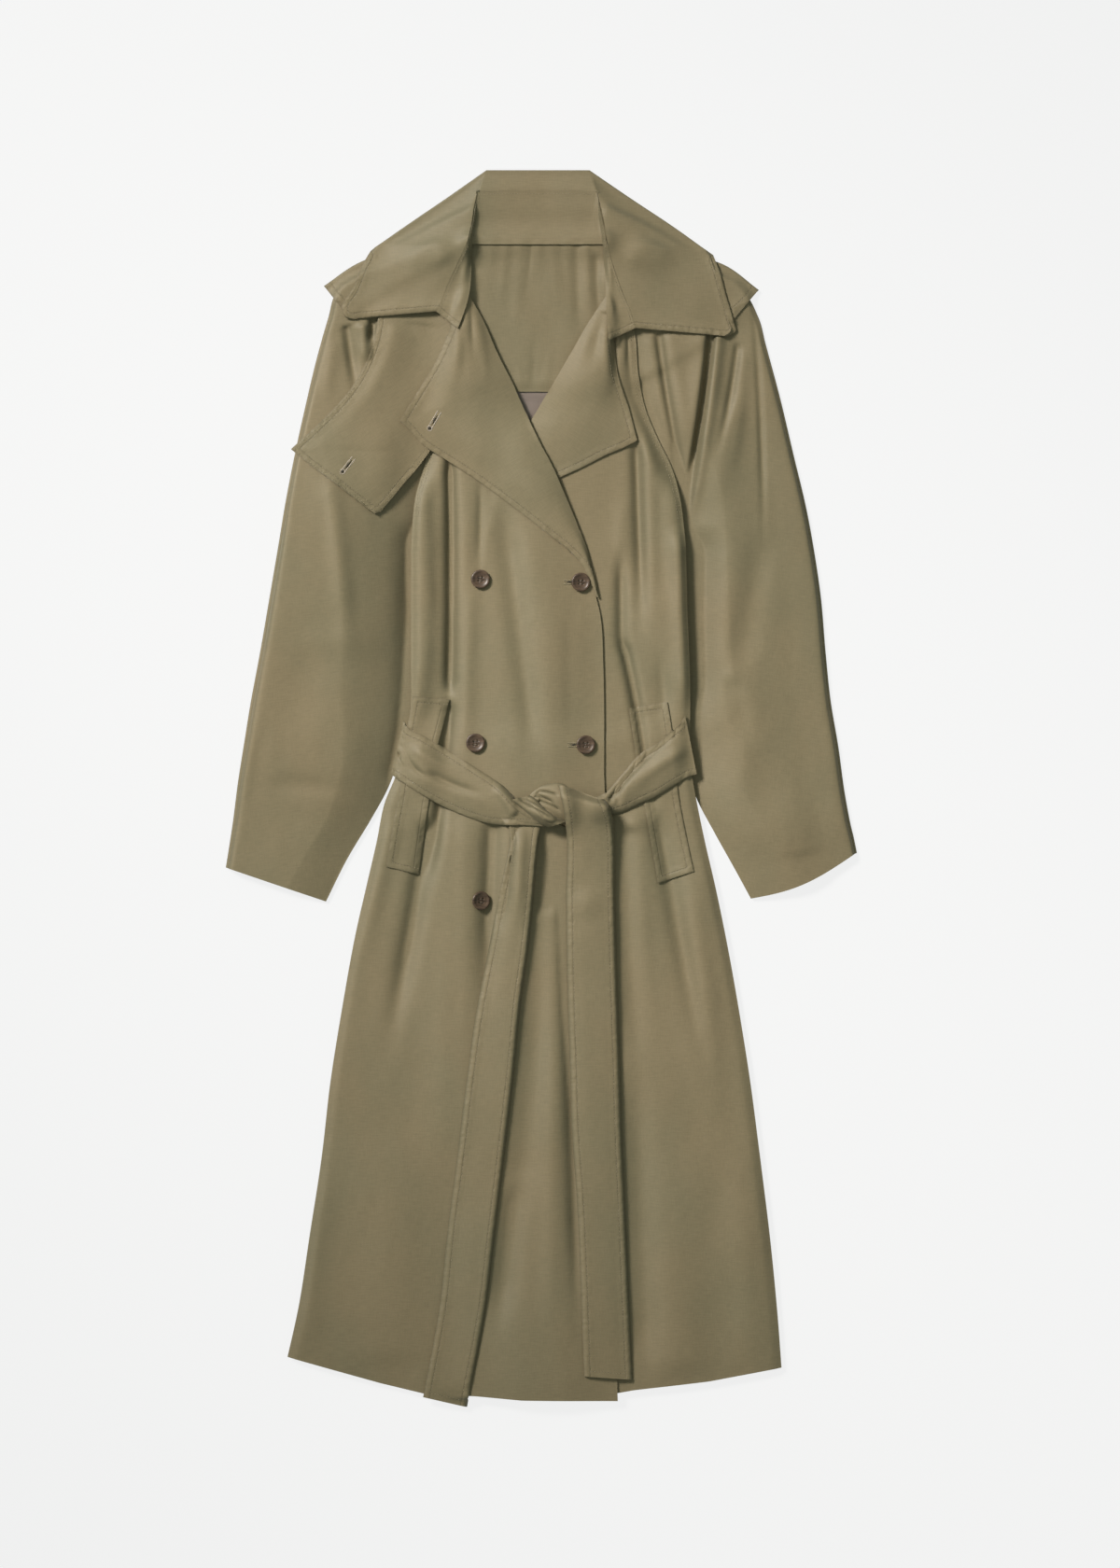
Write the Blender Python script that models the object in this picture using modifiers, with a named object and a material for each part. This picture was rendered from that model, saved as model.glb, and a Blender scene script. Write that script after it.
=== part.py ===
"""A long double-breasted trench coat, laid flat on its back with the front up.

+X points to the wearer's left sleeve, +Y from the hem to the collar and +Z up out of the front.
"right" and "left" are the wearer's. The origin is below the middle of the coat, on what it lies on.
Every piece of cloth is a sheet whose plan comes from a table of sections. The pieces are laid one
after another on a bed that remembers how high the cloth below them lies.
"""
import math

import bmesh
import bpy
import numpy as np

MM = 0.001
CLOTH = 1.2 * MM  # body, sleeves and yoke
FACED = 1.6 * MM  # collar, lapels, flaps and belt: two layers and a stiffener
LINING = 1.0 * MM
SEAM = 0.35 * MM  # air between two pieces that lie on each other
SLOPE = 1.15  # a wall on a slope takes up this much more height than its thickness
SLEEVE_FOLD, CAPE_FOLD, COLLAR_FOLD = 2.5 * MM, 2.5 * MM, 2 * MM  # radius of a folded edge
BACK_INSET = 2 * MM  # the fronts reach this far over the sides of the back
BELT_BULGE, TAIL_BULGE = 5 * MM, 3 * MM
KNOT_BULGE, KNOT_CROWN, KNOT_LENGTH = 7 * MM, 12 * MM, 0.09  # length as a share of the tail's
LOOP_BULGE = 10 * MM
BUTTON_RADIUS, BUTTON_HEIGHT = 10 * MM, 3.2 * MM
BUTTON_SIDES = 16
SHANK_RADIUS = 1.5 * MM
CELL = 3 * MM  # of the bed
BED_WIDTH, BED_LENGTH = 700 * MM, 1330 * MM

# ---------------------------------------------------------------- tables, in millimetres

# Sections of the body, from the neck down: the two side lines and the edges of the two fronts.
# The upper front's edge is its roll line first, then its free edge.
BODY_COLUMNS = "level right_side left_side upper_edge under_edge"
BODY = [
    (493, -101, 90, -66, 60),
    (465, -103, 97, -53, 42),
    (426, -105, 100, -35, 20),
    (388, -109, 108, -17, -3),
    (359, -114, 120, -2, -19),
    (330, -120, 134, 11, -32),
    (301, -128, 142, 23, -43),
    (264, -135, 144, 36, -53),
    (215, -137, 145, 51, -65),
    (177, -137, 146, 61, -72),
    (129, -136, 148, 64, -76),
    (81, -136, 149, 65, -78),
    (47, -141, 151, 65, -79),
    (12, -149, 155, 65, -79),
    (-15, -160, 160, 66, -79),
    (-54, -168, 168, 66, -79),
    (-102, -179, 179, 67, -79),
    (-150, -190, 189, 68, -79),
    (-227, -204, 203, 70, -79),
    (-303, -216, 215, 72, -79),
    (-380, -225, 225, 73, -79),
    (-457, -237, 235, 75, -79),
    (-534, -249, 243, 77, -79),
    (-585, -260, 247, 79, -79),
]
HEM_STARTS = -380  # level below which the sections bend into the hem's curve
HEM_COLUMNS = "x level"
UPPER_HEM = [(-260, -585), (-164, -612), (-118, -623), (-67, -625), (-19, -629), (79, -630)]
UNDER_HEM = [(-79, -620), (79, -622), (96, -619), (173, -610), (247, -596)]
BACK_HEM = [(-260, -579), (-164, -603), (-19, -616), (96, -613), (247, -590)]

# Back panel above the armpits: its raglan seams and neck.
BACK_TOP_COLUMNS = "level right_side left_side"
BACK_TOP = [
    (559, -70, 63),
    (522, -82, 75),
    (474, -90, 84),
    (426, -92, 87),
    (388, -96, 96),
    (354, -105, 112),
    (321, -115, 127),
]

# Sleeves, from the neck to the cuff: inner edge of the front layer, outer fold, inner edge of the back
# layer, height of the hollow, and the share of the width that the body presses flat.
SLEEVE_COLUMNS = "front_x front_y fold_x fold_y back_x back_y puff pressed"
LEFT_SLEEVE = [
    (70, 522, 108, 557, 64, 522, 1, 0),
    (82, 495, 152, 538, 75, 495, 2, 0),
    (93, 467, 202, 505, 85, 467, 4, 0),
    (96, 422, 229, 463, 88, 422, 7, 0.05),
    (112, 368, 247, 397, 104, 368, 10, 0.1),
    (127, 330, 260, 342, 120, 330, 12, 0.14),
    (134, 292, 272, 292, 131, 292, 14, 0.16),
    (132, 244, 281, 244, 132, 244, 15, 0.18),
    (131, 196, 288, 196, 131, 196, 16, 0.18),
    (132, 138, 293, 138, 132, 138, 16, 0.18),
    (137, 90, 298, 90, 137, 90, 16, 0.14),
    (146, 42, 306, 42, 146, 42, 15, 0.08),
    (158, -6, 312, -2, 158, -6, 14, 0.02),
    (179, -47, 318, -35, 179, -47, 13, 0),
    (198, -81, 322, -52, 198, -81, 11, 0),
    (216, -114, 325, -67, 216, -114, 9, 0),
]
RIGHT_SLEEVE = [
    (-76, 522, -109, 557, -71, 522, 1, 0),
    (-88, 495, -153, 538, -81, 495, 2, 0),
    (-97, 467, -207, 503, -90, 467, 4, 0),
    (-100, 422, -229, 447, -93, 422, 7, 0.05),
    (-108, 373, -242, 393, -100, 373, 10, 0.1),
    (-116, 330, -253, 343, -108, 330, 12, 0.14),
    (-122, 292, -262, 297, -119, 292, 14, 0.16),
    (-121, 244, -270, 249, -121, 244, 15, 0.18),
    (-120, 196, -279, 196, -120, 196, 16, 0.18),
    (-121, 138, -289, 138, -121, 138, 16, 0.18),
    (-127, 95, -298, 90, -127, 95, 16, 0.14),
    (-140, 52, -305, 47, -140, 52, 15, 0.06),
    (-157, 0, -312, 2, -157, 0, 14, 0),
    (-175, -33, -316, -30, -175, -33, 13, 0),
    (-199, -73, -320, -57, -199, -73, 11, 0),
    (-221, -117, -324, -82, -221, -117, 9, 0),
]

# Rear storm flap, from the neck down: inner edge of the right tip, right fold, left fold, left tip.
STORM_COLUMNS = "right_x right_y right_fold_x right_fold_y left_fold_x left_fold_y left_x left_y sag"
STORM = [
    (-69, 559, -70, 595, 68, 595, 66, 559, 0),
    (-101, 545, -107, 577, 110, 575, 104, 538, 0),
    (-136, 526, -149, 555, 152, 550, 143, 522, -10),
    (-168, 507, -187, 540, 188, 538, 171, 503, -40),
    (-200, 486, -223, 516, 224, 512, 198, 481, -110),
]

# Band of the collar, from its right front corner round the neck to its left one: seam to the stand,
# fold (or middle, in front), outer edge, height of the seam over the cloth, and whether the outer
# part lies in front (1) or behind (0).
COLLAR_COLUMNS = "seam_x seam_y fold_x fold_y edge_x edge_y roll front"
COLLAR = [
    (-107, 489, -191, 482, -196, 481, 5, 1),
    (-103, 498, -198, 491, -204, 490, 7, 1),
    (-94, 520, -188, 514, -193, 513, 12, 1),
    (-84, 541, -177, 538, -183, 538, 15, 1),
    (-76, 558, -170, 556, -175, 552, 16, 0.5),
    (-72, 575, -140, 577, -153, 559, 15, 0),
    (-69, 594, -96, 607, -113, 549, 12, 0),
    (-65, 612, -56, 635, -65, 557, 7, 0),
    (-33, 613, -28, 635, -33, 559, 4, 0),
    (0, 613, 0, 635, 0, 559, 3, 0),
    (29, 613, 24, 635, 29, 559, 4, 0),
    (58, 612, 50, 635, 58, 557, 7, 0),
    (62, 594, 91, 607, 106, 549, 12, 0),
    (66, 575, 139, 575, 148, 556, 16, 0),
    (69, 555, 171, 552, 177, 548, 16, 0.5),
    (74, 537, 177, 532, 183, 532, 15, 1),
    (83, 511, 183, 508, 189, 509, 12, 1),
    (93, 486, 192, 482, 197, 483, 7, 1),
    (97, 472, 189, 464, 194, 463, 5, 1),
]

COLLAR_CORNERS = (4, 7, 11, 14)  # rows at the shoulders and at the corners of the neck
COLLAR_STEPS = 30

# Stand of the collar: its neck edge, from the right front corner to the left one. Its other edge is
# the band's seam.
STAND_COLUMNS = "neck_x neck_y"
STAND = [
    (-85, 471), (-80, 484), (-74, 506), (-72, 525), (-72, 541),
    (-70, 553), (-64, 557), (-53, 558), (-28, 558), (0, 558),
    (25, 558), (48, 558), (59, 557), (63, 553), (64, 541),
    (65, 525), (66, 503), (68, 476), (69, 459),
]

# Lapels: outer edge and roll line, from the collar to the lowest point; each has its tip at a corner row.
LAPEL_COLUMNS = "edge_x edge_y roll_x roll_y rise"
RIGHT_LAPEL = [
    (-87, 470, -72, 508, 5),
    (-106, 441, -59, 478, 5),
    (-125, 409, -45, 446, 5),
    (-145, 377, -29, 415, 5),
    (-134, 366, -19, 392, 5),
    (-123, 354, -11, 375, 5),
    (-96, 336, 0, 352, 5),
    (-67, 317, 12, 329, 4),
    (-29, 289, 24, 301, 4),
    (8, 260, 38, 267, 3),
    (47, 226, 50, 229, 1),
]
RIGHT_LAPEL_TIP = 3
LEFT_LAPEL = [
    (69, 459, 63, 505, 4),
    (79, 424, 48, 475, 5),
    (90, 390, 30, 444, 5),
    (99, 357, 13, 415, 5),
    (84, 349, 5, 402, 5),
    (69, 343, -2, 390, 4),
    (42, 329, -12, 374, 3),
    (16, 317, -20, 361, 2),
    (-7, 304, -27, 343, 1),
]
LEFT_LAPEL_TIP = 3

# Gun flap on the right shoulder, from the seam down to its rounded lower corner.
FLAP_COLUMNS = "outer_x outer_y inner_x inner_y"
GUN_FLAP = [
    (-166, 494, -92, 494),
    (-168, 474, -88, 472),
    (-176, 445, -88, 434),
    (-194, 411, -93, 396),
    (-224, 377, -103, 363),
    (-256, 347, -116, 343),
    (-234, 329, -128, 327),
    (-211, 312, -141, 312),
    (-190, 296, -153, 297),
    (-170, 281, -164, 284),
]
GUN_FLAP_TIP = 5

# Pocket welts, from the top down, and lengths of belt: two edges of each.
STRIP_COLUMNS = "one_x one_y other_x other_y"
RIGHT_WELT = [
    (-131, 94, -94, 91),
    (-136, 67, -100, 67),
    (-141, 35, -108, 35),
    (-145, -2, -114, -6),
    (-152, -40, -120, -46),
    (-159, -81, -126, -89),
]
LEFT_WELT = [
    (130, 88, 90, 82),
    (134, 63, 94, 56),
    (137, 33, 99, 21),
    (141, -6, 106, -17),
    (148, -44, 113, -57),
    (157, -86, 120, -98),
]

RIGHT_BELT = [
    (-139, 67, -151, 14),
    (-121, 55, -126, -4),
    (-106, 44, -101, -18),
    (-89, 34, -78, -28),
    (-72, 23, -57, -35),
    (-55, 12, -43, -37),
    (-39, 2, -28, -38),
    (-27, -12, -13, -36),
]
LEFT_BELT = [
    (145, 72, 157, 16),
    (134, 58, 138, 4),
    (119, 45, 118, -8),
    (102, 34, 100, -16),
    (83, 12, 84, -24),
    (66, -6, 68, -28),
    (50, -13, 52, -31),
]
BACK_BELT = [
    (-124, 56, -128, 6),
    (0, 42, 0, -8),
    (131, 58, 137, 6),
]
RIGHT_TAIL = [
    (-33, -36, -1, -36),
    (-31, -59, -4, -59),
    (-35, -78, -6, -80),
    (-42, -111, -9, -116),
    (-49, -148, -13, -155),
    (-67, -241, -23, -231),
    (-73, -284, -28, -284),
    (-85, -380, -39, -380),
    (-95, -457, -49, -462),
    (-102, -524, -57, -529),
    (-120, -626, -77, -636),
]
LEFT_TAIL = [
    (19, 3, 64, -13),
    (21, -6, 68, -19),
    (24, -20, 72, -30),
    (27, -42, 74, -47),
    (27, -111, 75, -111),
    (28, -192, 77, -188),
    (31, -284, 80, -284),
    (33, -351, 82, -354),
    (38, -421, 85, -423),
    (42, -515, 89, -517),
    (45, -604, 93, -608),
]
KNOT_LOOP = [
    (-12, -9, -8, -21),
    (-5, -3, -2, -25),
    (2, 1, 5, -29),
    (10, 3, 13, -32),
    (18, 4, 21, -34),
    (26, 3, 28, -35),
    (37, 0, 37, -35),
]
KNOT_WRAP = [
    (-29, -12, -32, -27),
    (-21, -9, -27, -34),
    (-11, -11, -19, -38),
    (-1, -18, -7, -38),
    (8, -27, 5, -38),
    (18, -33, 16, -38),
    (26, -35, 25, -38),
]

# Yoke inside the back of the neck and the lining below it, from the top down.
YOKE_COLUMNS = "right_x right_y left_x left_y"
YOKE = [(-73, 557, 67, 557), (-78, 522, 70, 522), (-77, 465, 68, 465), (-75, 407, 66, 407)]
NECK_LINING = [(-46, 412, 31, 412), (-44, 388, 25, 388), (-40, 361, 18, 361)]

BUTTON_COLUMNS = "x y"
BUTTONS = [(-62, 214), (41, 211), (-67, 46), (46, 44), (-62, -116), (47, -119)]

# Half outline of a button, from the middle of its dished face to its underside, as shares of its
# radius and height.
BUTTON_OUTLINE = [(0, 0.55), (0.62, 0.6), (0.76, 0.95), (0.88, 1), (1, 0.7), (0.97, 0.3), (0.7, 0)]

# Folds: a ridge from one point to another, its half width, height and sideways bend.
FOLD_COLUMNS = "x0 y0 x1 y1 half height bend"
RIGHT_FOLDS = [
    (-121, 292, -128, 66, 10, 10, 0),
    (-78, 330, -88, 42, 13, 10, 2),
    (-48, 292, -44, 23, 12, 7, 0),
    (16, 273, 25, -15, 26, 7, 0),
    (-149, -35, -187, -207, 9, 5, 0),
    (-90, -15, -113, -467, 18, 9, 4),
    (10, -25, 2, -611, 14, 4, 0),
    (58, -54, 68, -611, 12, 4, 0),
]
LEFT_FOLDS = [
    (118, 407, 118, 81, 12, 10, -3),
    (141, 292, 142, 81, 9, 6, 0),
    (100, -25, 120, -275, 10, 8, 0),
    (137, -25, 175, -207, 10, 6, 2),
    (116, -265, 141, -591, 22, 4, 0),
    (85, 273, 77, -15, 8, 3, 0),
]
LEFT_SLEEVE_FOLDS = [
    (137, 441, 137, 330, 10, 7, -4),
    (156, 445, 154, 311, 9, 7, -2),
    (188, 465, 181, 273, 11, 8, -6),
    (212, 465, 202, 138, 13, 7, -4),
    (260, 273, 281, -35, 18, 6, 4),
    (202, 196, 260, -83, 16, 5, 0),
]
RIGHT_SLEEVE_FOLDS = [
    (-193, 474, -205, 311, 12, 7, 3),
    (-153, 292, -174, 81, 14, 7, 3),
    (-230, 407, -249, 196, 16, 6, 4),
    (-259, 234, -305, -54, 18, 6, -4),
    (-218, 196, -268, -83, 16, 5, 0),
]
YOKE_GATHERS = [
    (-50, 555, -53, 493, 3, 1.6, 0),
    (-37, 555, -41, 505, 3, 1.6, 0),
    (-23, 555, -23, 474, 4, 2.0, 0),
    (-5, 555, -7, 511, 3, 1.5, 0),
    (12, 555, 18, 479, 4, 2.0, 0),
    (27, 555, 31, 501, 3, 1.6, 0),
    (41, 555, 50, 465, 4, 2.2, 0),
    (-17, 412, -21, 465, 4, 1.5, 0),
    (-1, 412, 2, 474, 5, 1.5, 0),
]
GUN_FLAP_FOLDS = [(-120, 474, -153, 311, 18, 4, 4), (-153, 465, -201, 359, 14, 3, 3)]

# ---------------------------------------------------------------- tables and smooth lines


def table(names, rows):
    """A table's rows in metres, and its columns by name."""
    values = np.array(rows, float)
    scaled = values * MM
    return scaled, dict(zip(names.split(), scaled.T))


def hermite(at, knots, values):
    """Values on a smooth curve through the knots."""
    slope = np.gradient(values, knots, axis=0)
    left = np.clip(np.searchsorted(knots, at, side="right") - 1, 0, len(knots) - 2)
    span = (knots[left + 1] - knots[left])[:, None]
    share = (at[:, None] - knots[left][:, None]) / span
    rise = values[left + 1] - values[left]
    blend = share * share * (3 - 2 * share)
    lead = share * (1 - share) ** 2 * slope[left] * span
    trail = share * share * (1 - share) * slope[left + 1] * span
    return values[left] + blend * rise + lead - trail


def through(rows, steps, corners=()):
    """Sections spaced evenly along a table of sections, smooth but for its corner rows."""
    gaps = np.linalg.norm(np.diff(rows, axis=0), axis=1)
    reach = np.r_[0, np.cumsum(gaps)]
    marks = [0, *corners, len(rows) - 1]
    sections = [rows[:1]]
    for first, last in zip(marks[:-1], marks[1:]):
        count = max(1, round(steps * (reach[last] - reach[first]) / reach[-1]))
        at = np.linspace(reach[first], reach[last], count + 1)[1:]
        sections.append(hermite(at, reach[first:last + 1], rows[first:last + 1]))
    return np.concatenate(sections)


def between(start, end, steps):
    """Plan of a sheet, [section, step, x or y], ruled from one edge to the other."""
    share = np.linspace(0, 1, steps + 1)[None, :, None]
    return start[:, None] * (1 - share) + end[:, None] * share


def unit(vectors):
    return vectors / np.linalg.norm(vectors, axis=-1, keepdims=True)


def smoothstep(value):
    value = np.clip(value, 0, 1)
    return value * value * (3 - 2 * value)


def ridges(plan, folds):
    """Height of the folds over a plan."""
    rows, _ = table(FOLD_COLUMNS, folds)
    height = np.zeros(plan.shape[:2])
    for x0, y0, x1, y1, half, high, bend in rows:
        start, end = np.array([x0, y0]), np.array([x1, y1])
        length = np.linalg.norm(end - start)
        along = (end - start) / length
        offset = plan - start
        share = (offset @ along) / length
        side = offset @ np.array([-along[1], along[0]]) - bend * 4 * share * (1 - share)
        fade = smoothstep(share / 0.3) * smoothstep((1 - share) / 0.3)
        height += high * fade * np.exp(-((side / half) ** 2))
    return height


# ---------------------------------------------------------------- the bed and how cloth settles on it


def corner_shares(a, b):
    """Share of each corner of a cell, split from its first corner to its third, in the point (a, b)."""
    return {(0, 0): 1 - max(a, b), (1, 0): max(a - b, 0), (0, 1): max(b - a, 0), (1, 1): min(a, b)}


def at_corner(grid, corner):
    """The cells' values at one of their corners."""
    across, along = corner
    rows, steps = grid.shape[0] - 1, grid.shape[1] - 1
    return grid[along:along + rows, across:across + steps]


def cell_points(grid, fine):
    """The grid's surface at fine * fine points in each cell, with the shares of its corners."""
    for a in (np.arange(fine) + 0.5) / fine:
        for b in (np.arange(fine) + 0.5) / fine:
            shares = corner_shares(a, b)
            yield shares, sum(share * at_corner(grid, corner) for corner, share in shares.items())


class Bed:
    """How high the cloth lies so far, on a square raster seen from above."""

    def __init__(self):
        self.low = np.array([-BED_WIDTH / 2, -BED_LENGTH / 2])
        self.size = np.array([round(BED_WIDTH / CELL), round(BED_LENGTH / CELL)])
        self.top = np.full(self.size, -SEAM)
        self.grown = self.top

    def places(self, plan):
        spots = np.rint((plan - self.low) / CELL).astype(int)
        spots = np.clip(spots, 0, self.size - 1)
        return spots[..., 0], spots[..., 1]

    def height(self, plan):
        return self.grown[self.places(plan)]

    def add(self, surface, fine=8):
        """Raises the bed to a surface, [row, step, xyz]."""
        for _, points in cell_points(surface, fine):
            np.maximum.at(self.top, self.places(points[..., :2]), points[..., 2])
        padded = np.pad(self.top, 1, mode="edge")
        across, along = self.top.shape
        shifts = [padded[i:i + across, j:j + along] for i in range(3) for j in range(3)]
        self.grown = np.max(shifts, axis=0)


def lifted(bed, plan, height, clear, fine=6, rounds=12):
    """The heights, raised where the sheet would come closer to the bed than clear."""
    floor = [bed.height(points) + clear for _, points in cell_points(plan, fine)]
    for _ in range(rounds):
        lift = np.zeros_like(height)
        for (shares, level), needed in zip(cell_points(height, fine), floor):
            step = (needed - level) / sum(share * share for share in shares.values())
            for corner, share in shares.items():
                if share > 0:
                    part = at_corner(lift, corner)
                    np.maximum(part, step * share, out=part)
        height = height + lift
        if lift.max() < 0.01 * MM:
            break
    return height


def smoothed(height):
    padded = np.pad(height, 1, mode="edge")
    ring = padded[:-2, 1:-1] + padded[2:, 1:-1] + padded[1:-1, :-2] + padded[1:-1, 2:]
    return 0.5 * height + 0.125 * ring


def draped(bed, plan, clear, rise=0, softness=10):
    """Heights of a sheet that lies softly on the bed, with its own rise on top."""
    height = lifted(bed, plan, bed.height(plan) + clear, clear)
    for _ in range(softness):
        height = np.maximum(smoothed(height), bed.height(plan) + clear)
    return lifted(bed, plan, smoothed(height) + rise, clear)


def normals(surface):
    across = np.gradient(surface, axis=1)
    along = np.gradient(surface, axis=0)
    facing = unit(np.cross(across, along))
    return facing if facing[..., 2].mean() > 0 else -facing


# ---------------------------------------------------------------- Blender objects


def clear_scene():
    for old in list(bpy.data.objects):
        bpy.data.objects.remove(old, do_unlink=True)


def material(name, colour, roughness, sheen=0.0):
    made = bpy.data.materials.new(name)
    made.use_nodes = True
    shader = made.node_tree.nodes["Principled BSDF"]
    shader.inputs["Base Color"].default_value = (*colour, 1)
    shader.inputs["Roughness"].default_value = roughness
    shader.inputs["Metallic"].default_value = 0
    shader.inputs["Sheen Weight"].default_value = sheen
    return made


def sheet(name, surface, thickness, cloth, inward=False):
    """A solid wall on a surface, [row, step, xyz]. It grows up, or inward from an outer surface."""
    rows, steps = surface.shape[:2]
    shell = bmesh.new()
    bmesh.ops.create_grid(shell, x_segments=steps - 1, y_segments=rows - 1, size=0.5)
    bmesh.ops.triangulate(shell, faces=shell.faces, quad_method="FIXED")
    for vertex, point in zip(shell.verts, surface.reshape(-1, 3)):
        vertex.co = point
    shell.normal_update()
    top_faces = [face for face in shell.faces if face.calc_center_median().z > surface[..., 2].mean()]
    if sum(face.normal.z * face.calc_area() for face in top_faces) < 0:
        bmesh.ops.reverse_faces(shell, faces=shell.faces)
    mesh = bpy.data.meshes.new(name)
    shell.to_mesh(mesh)
    shell.free()
    mesh.shade_smooth()
    made = bpy.data.objects.new(name, mesh)
    made.data.materials.append(cloth)
    coat.objects.link(made)
    wall = made.modifiers.new("wall", "SOLIDIFY")
    wall.thickness = thickness
    wall.offset = -1 if inward else 1
    return made


def lay(name, plan, thickness, cloth, rise=0, softness=10):
    """A sheet laid on the bed."""
    height = draped(bed, plan, SEAM, rise, softness)
    surface = np.dstack([plan, height])
    sheet(name, surface, thickness, cloth)
    bed.add(surface + thickness * normals(surface))


class Folded:
    """A sheet whose rows run over legs joined by folds, some in front and some underneath.

    points are the ends of the legs, levels is 1 for a leg in front and 0 for one underneath."""

    ARC = 3  # steps round a fold

    def __init__(self, points, levels, steps, radius, thickness):
        self.thickness = thickness
        self.clear = SEAM + thickness * SLOPE
        last = len(steps) - 1
        plans, shares, self.legs = [], [], []
        for leg, count in enumerate(steps):
            way = unit(points[leg + 1] - points[leg])
            start = points[leg] + (radius * way if leg > 0 else 0)
            end = points[leg + 1] - (radius * way if leg < last else 0)
            first = sum(part.shape[1] for part in plans)
            plans.append(between(start, end, count))
            self.legs.append(slice(first, first + count + 1))
            level = np.broadcast_to(levels[leg], (len(start),))
            shares.append(np.repeat(level[:, None], count + 1, axis=1))
            if leg < last:
                turn = points[leg + 1]
                after = turn + radius * unit(points[leg + 2] - turn)
                control = 2 * turn - (end + after) / 2
                next_level = np.broadcast_to(levels[leg + 1], (len(start),))
                for step in range(1, self.ARC + 1):
                    share = step / (self.ARC + 1)
                    bend = (1 - share) ** 2 * end + 2 * share * (1 - share) * control + share ** 2 * after
                    plans.append(bend[:, None])
                    turned = (1 - math.cos(math.pi * share)) / 2
                    shares.append((level * (1 - turned) + next_level * turned)[:, None])
        self.plan = np.concatenate(plans, axis=1)
        self.level = np.concatenate(shares, axis=1)
        self.under = np.zeros(self.plan.shape[:2])

    def lay_under(self, leg):
        """Settles a leg that lies underneath and raises the bed over it."""
        columns = self.legs[leg]
        plan = self.plan[:, columns]
        height = draped(bed, plan, SEAM)
        self.under[:, columns] = height
        covered = (self.level[:, columns] < 0.5).all(axis=1)
        surface = np.dstack([plan, height + self.thickness])[covered]
        bed.add(surface)

    def lay_over(self, under_leg, rise=0, softness=10):
        """Settles the legs in front on the bed."""
        self.over = np.zeros_like(self.under)
        rise = np.broadcast_to(rise, self.over.shape)
        for leg, columns in enumerate(self.legs):
            if leg != under_leg or self.level[:, columns].max() > 0:
                plan = self.plan[:, columns]
                self.over[:, columns] = draped(bed, plan, self.clear, rise[:, columns], softness)

    def finish(self, name, cloth, under_leg):
        """Folds the legs in front round to what lies underneath, and makes the solid."""
        over = self.over
        for columns in self.legs:
            over[:, columns] = lifted(bed, self.plan[:, columns], over[:, columns], self.clear)
        low = self.legs[under_leg]
        for leg, columns in enumerate(self.legs):
            if leg < under_leg:
                arc = slice(columns.stop, columns.stop + self.ARC)
                over[:, arc] = over[:, columns.stop - 1][:, None]
                self.under[:, arc] = self.under[:, low.start][:, None]
                self.under[:, columns] = self.under[:, low.start][:, None]
            if leg > under_leg:
                arc = slice(columns.start - self.ARC, columns.start)
                over[:, arc] = over[:, columns.start][:, None]
                self.under[:, arc] = self.under[:, low.stop - 1][:, None]
                self.under[:, columns] = self.under[:, low.stop - 1][:, None]
        height = self.under + self.level * (over - self.under)
        surface = np.dstack([self.plan, height])
        sheet(name, surface, self.thickness, cloth, inward=True)
        bed.add(surface)


# ---------------------------------------------------------------- pieces


def hem_plan(plan, hem):
    """Bends the lowest sections of a panel into the hem's curve."""
    rows, _ = table(HEM_COLUMNS, hem)
    start = HEM_STARTS * MM
    lowest = plan[..., 1].min()
    level = np.interp(plan[..., 0], rows[:, 0], rows[:, 1])
    share = np.clip((start - plan[..., 1]) / (start - lowest), 0, 1)
    bent = start + share * (level - start)
    plan = plan.copy()
    plan[..., 1] = np.where(plan[..., 1] < start, bent, plan[..., 1])
    return plan


def body_rows(start_name, end_name, inset=0.0):
    """Edges of a body panel, as rows of x, y, x, y from the neck down."""
    _, body = table(BODY_COLUMNS, BODY)
    return np.column_stack([body[start_name] + inset, body["level"], body[end_name] - inset, body["level"]])


def ruled(rows, steps_along, steps_across, corners=()):
    sections = through(rows, steps_along, corners)
    return between(sections[:, 0:2], sections[:, 2:4], steps_across)


def shares_of(plan):
    """How far along and across each point of a plan is, from 0 to 1."""
    rows, steps = plan.shape[:2]
    return np.linspace(0, 1, rows)[:, None], np.linspace(0, 1, steps)[None, :]


def back_panel():
    rows, _ = table(BACK_TOP_COLUMNS, BACK_TOP)
    top = rows[:, [1, 0, 2, 0]]
    body = body_rows("right_side", "left_side", inset=BACK_INSET)
    below = body[body[:, 1] < rows[-1, 0]]
    plan = hem_plan(ruled(np.concatenate([top, below]), steps_along=27, steps_across=10), BACK_HEM)
    lay("back_panel", plan, CLOTH, gabardine, softness=14)


def back_neck():
    """The gathered yoke and the strip of lining below it, seen through the neck."""
    lining, _ = table(YOKE_COLUMNS, NECK_LINING)
    lay("back_lining", ruled(lining, steps_along=4, steps_across=5), LINING, satin, softness=2)
    rows, _ = table(YOKE_COLUMNS, YOKE)
    plan = ruled(rows, steps_along=8, steps_across=20)
    lay("back_neck_yoke", plan, CLOTH, gabardine, rise=ridges(plan, YOKE_GATHERS), softness=2)


def front(name, edges, hem, folds, steps_across):
    plan = hem_plan(ruled(body_rows(*edges), steps_along=35, steps_across=steps_across), hem)
    lay(name, plan, CLOTH, gabardine, rise=ridges(plan, folds), softness=12)


def lapel(name, rows, tip, steps_along, steps_across):
    values, _ = table(LAPEL_COLUMNS, rows)
    sections = through(values, steps_along, (tip,))
    plan = between(sections[:, 0:2], sections[:, 2:4], steps_across)
    _, across = shares_of(plan)
    rise = sections[:, 4:5] * np.sin(math.pi * across ** 1.6)
    lay(name, plan, FACED, gabardine, rise=rise, softness=5)


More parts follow.
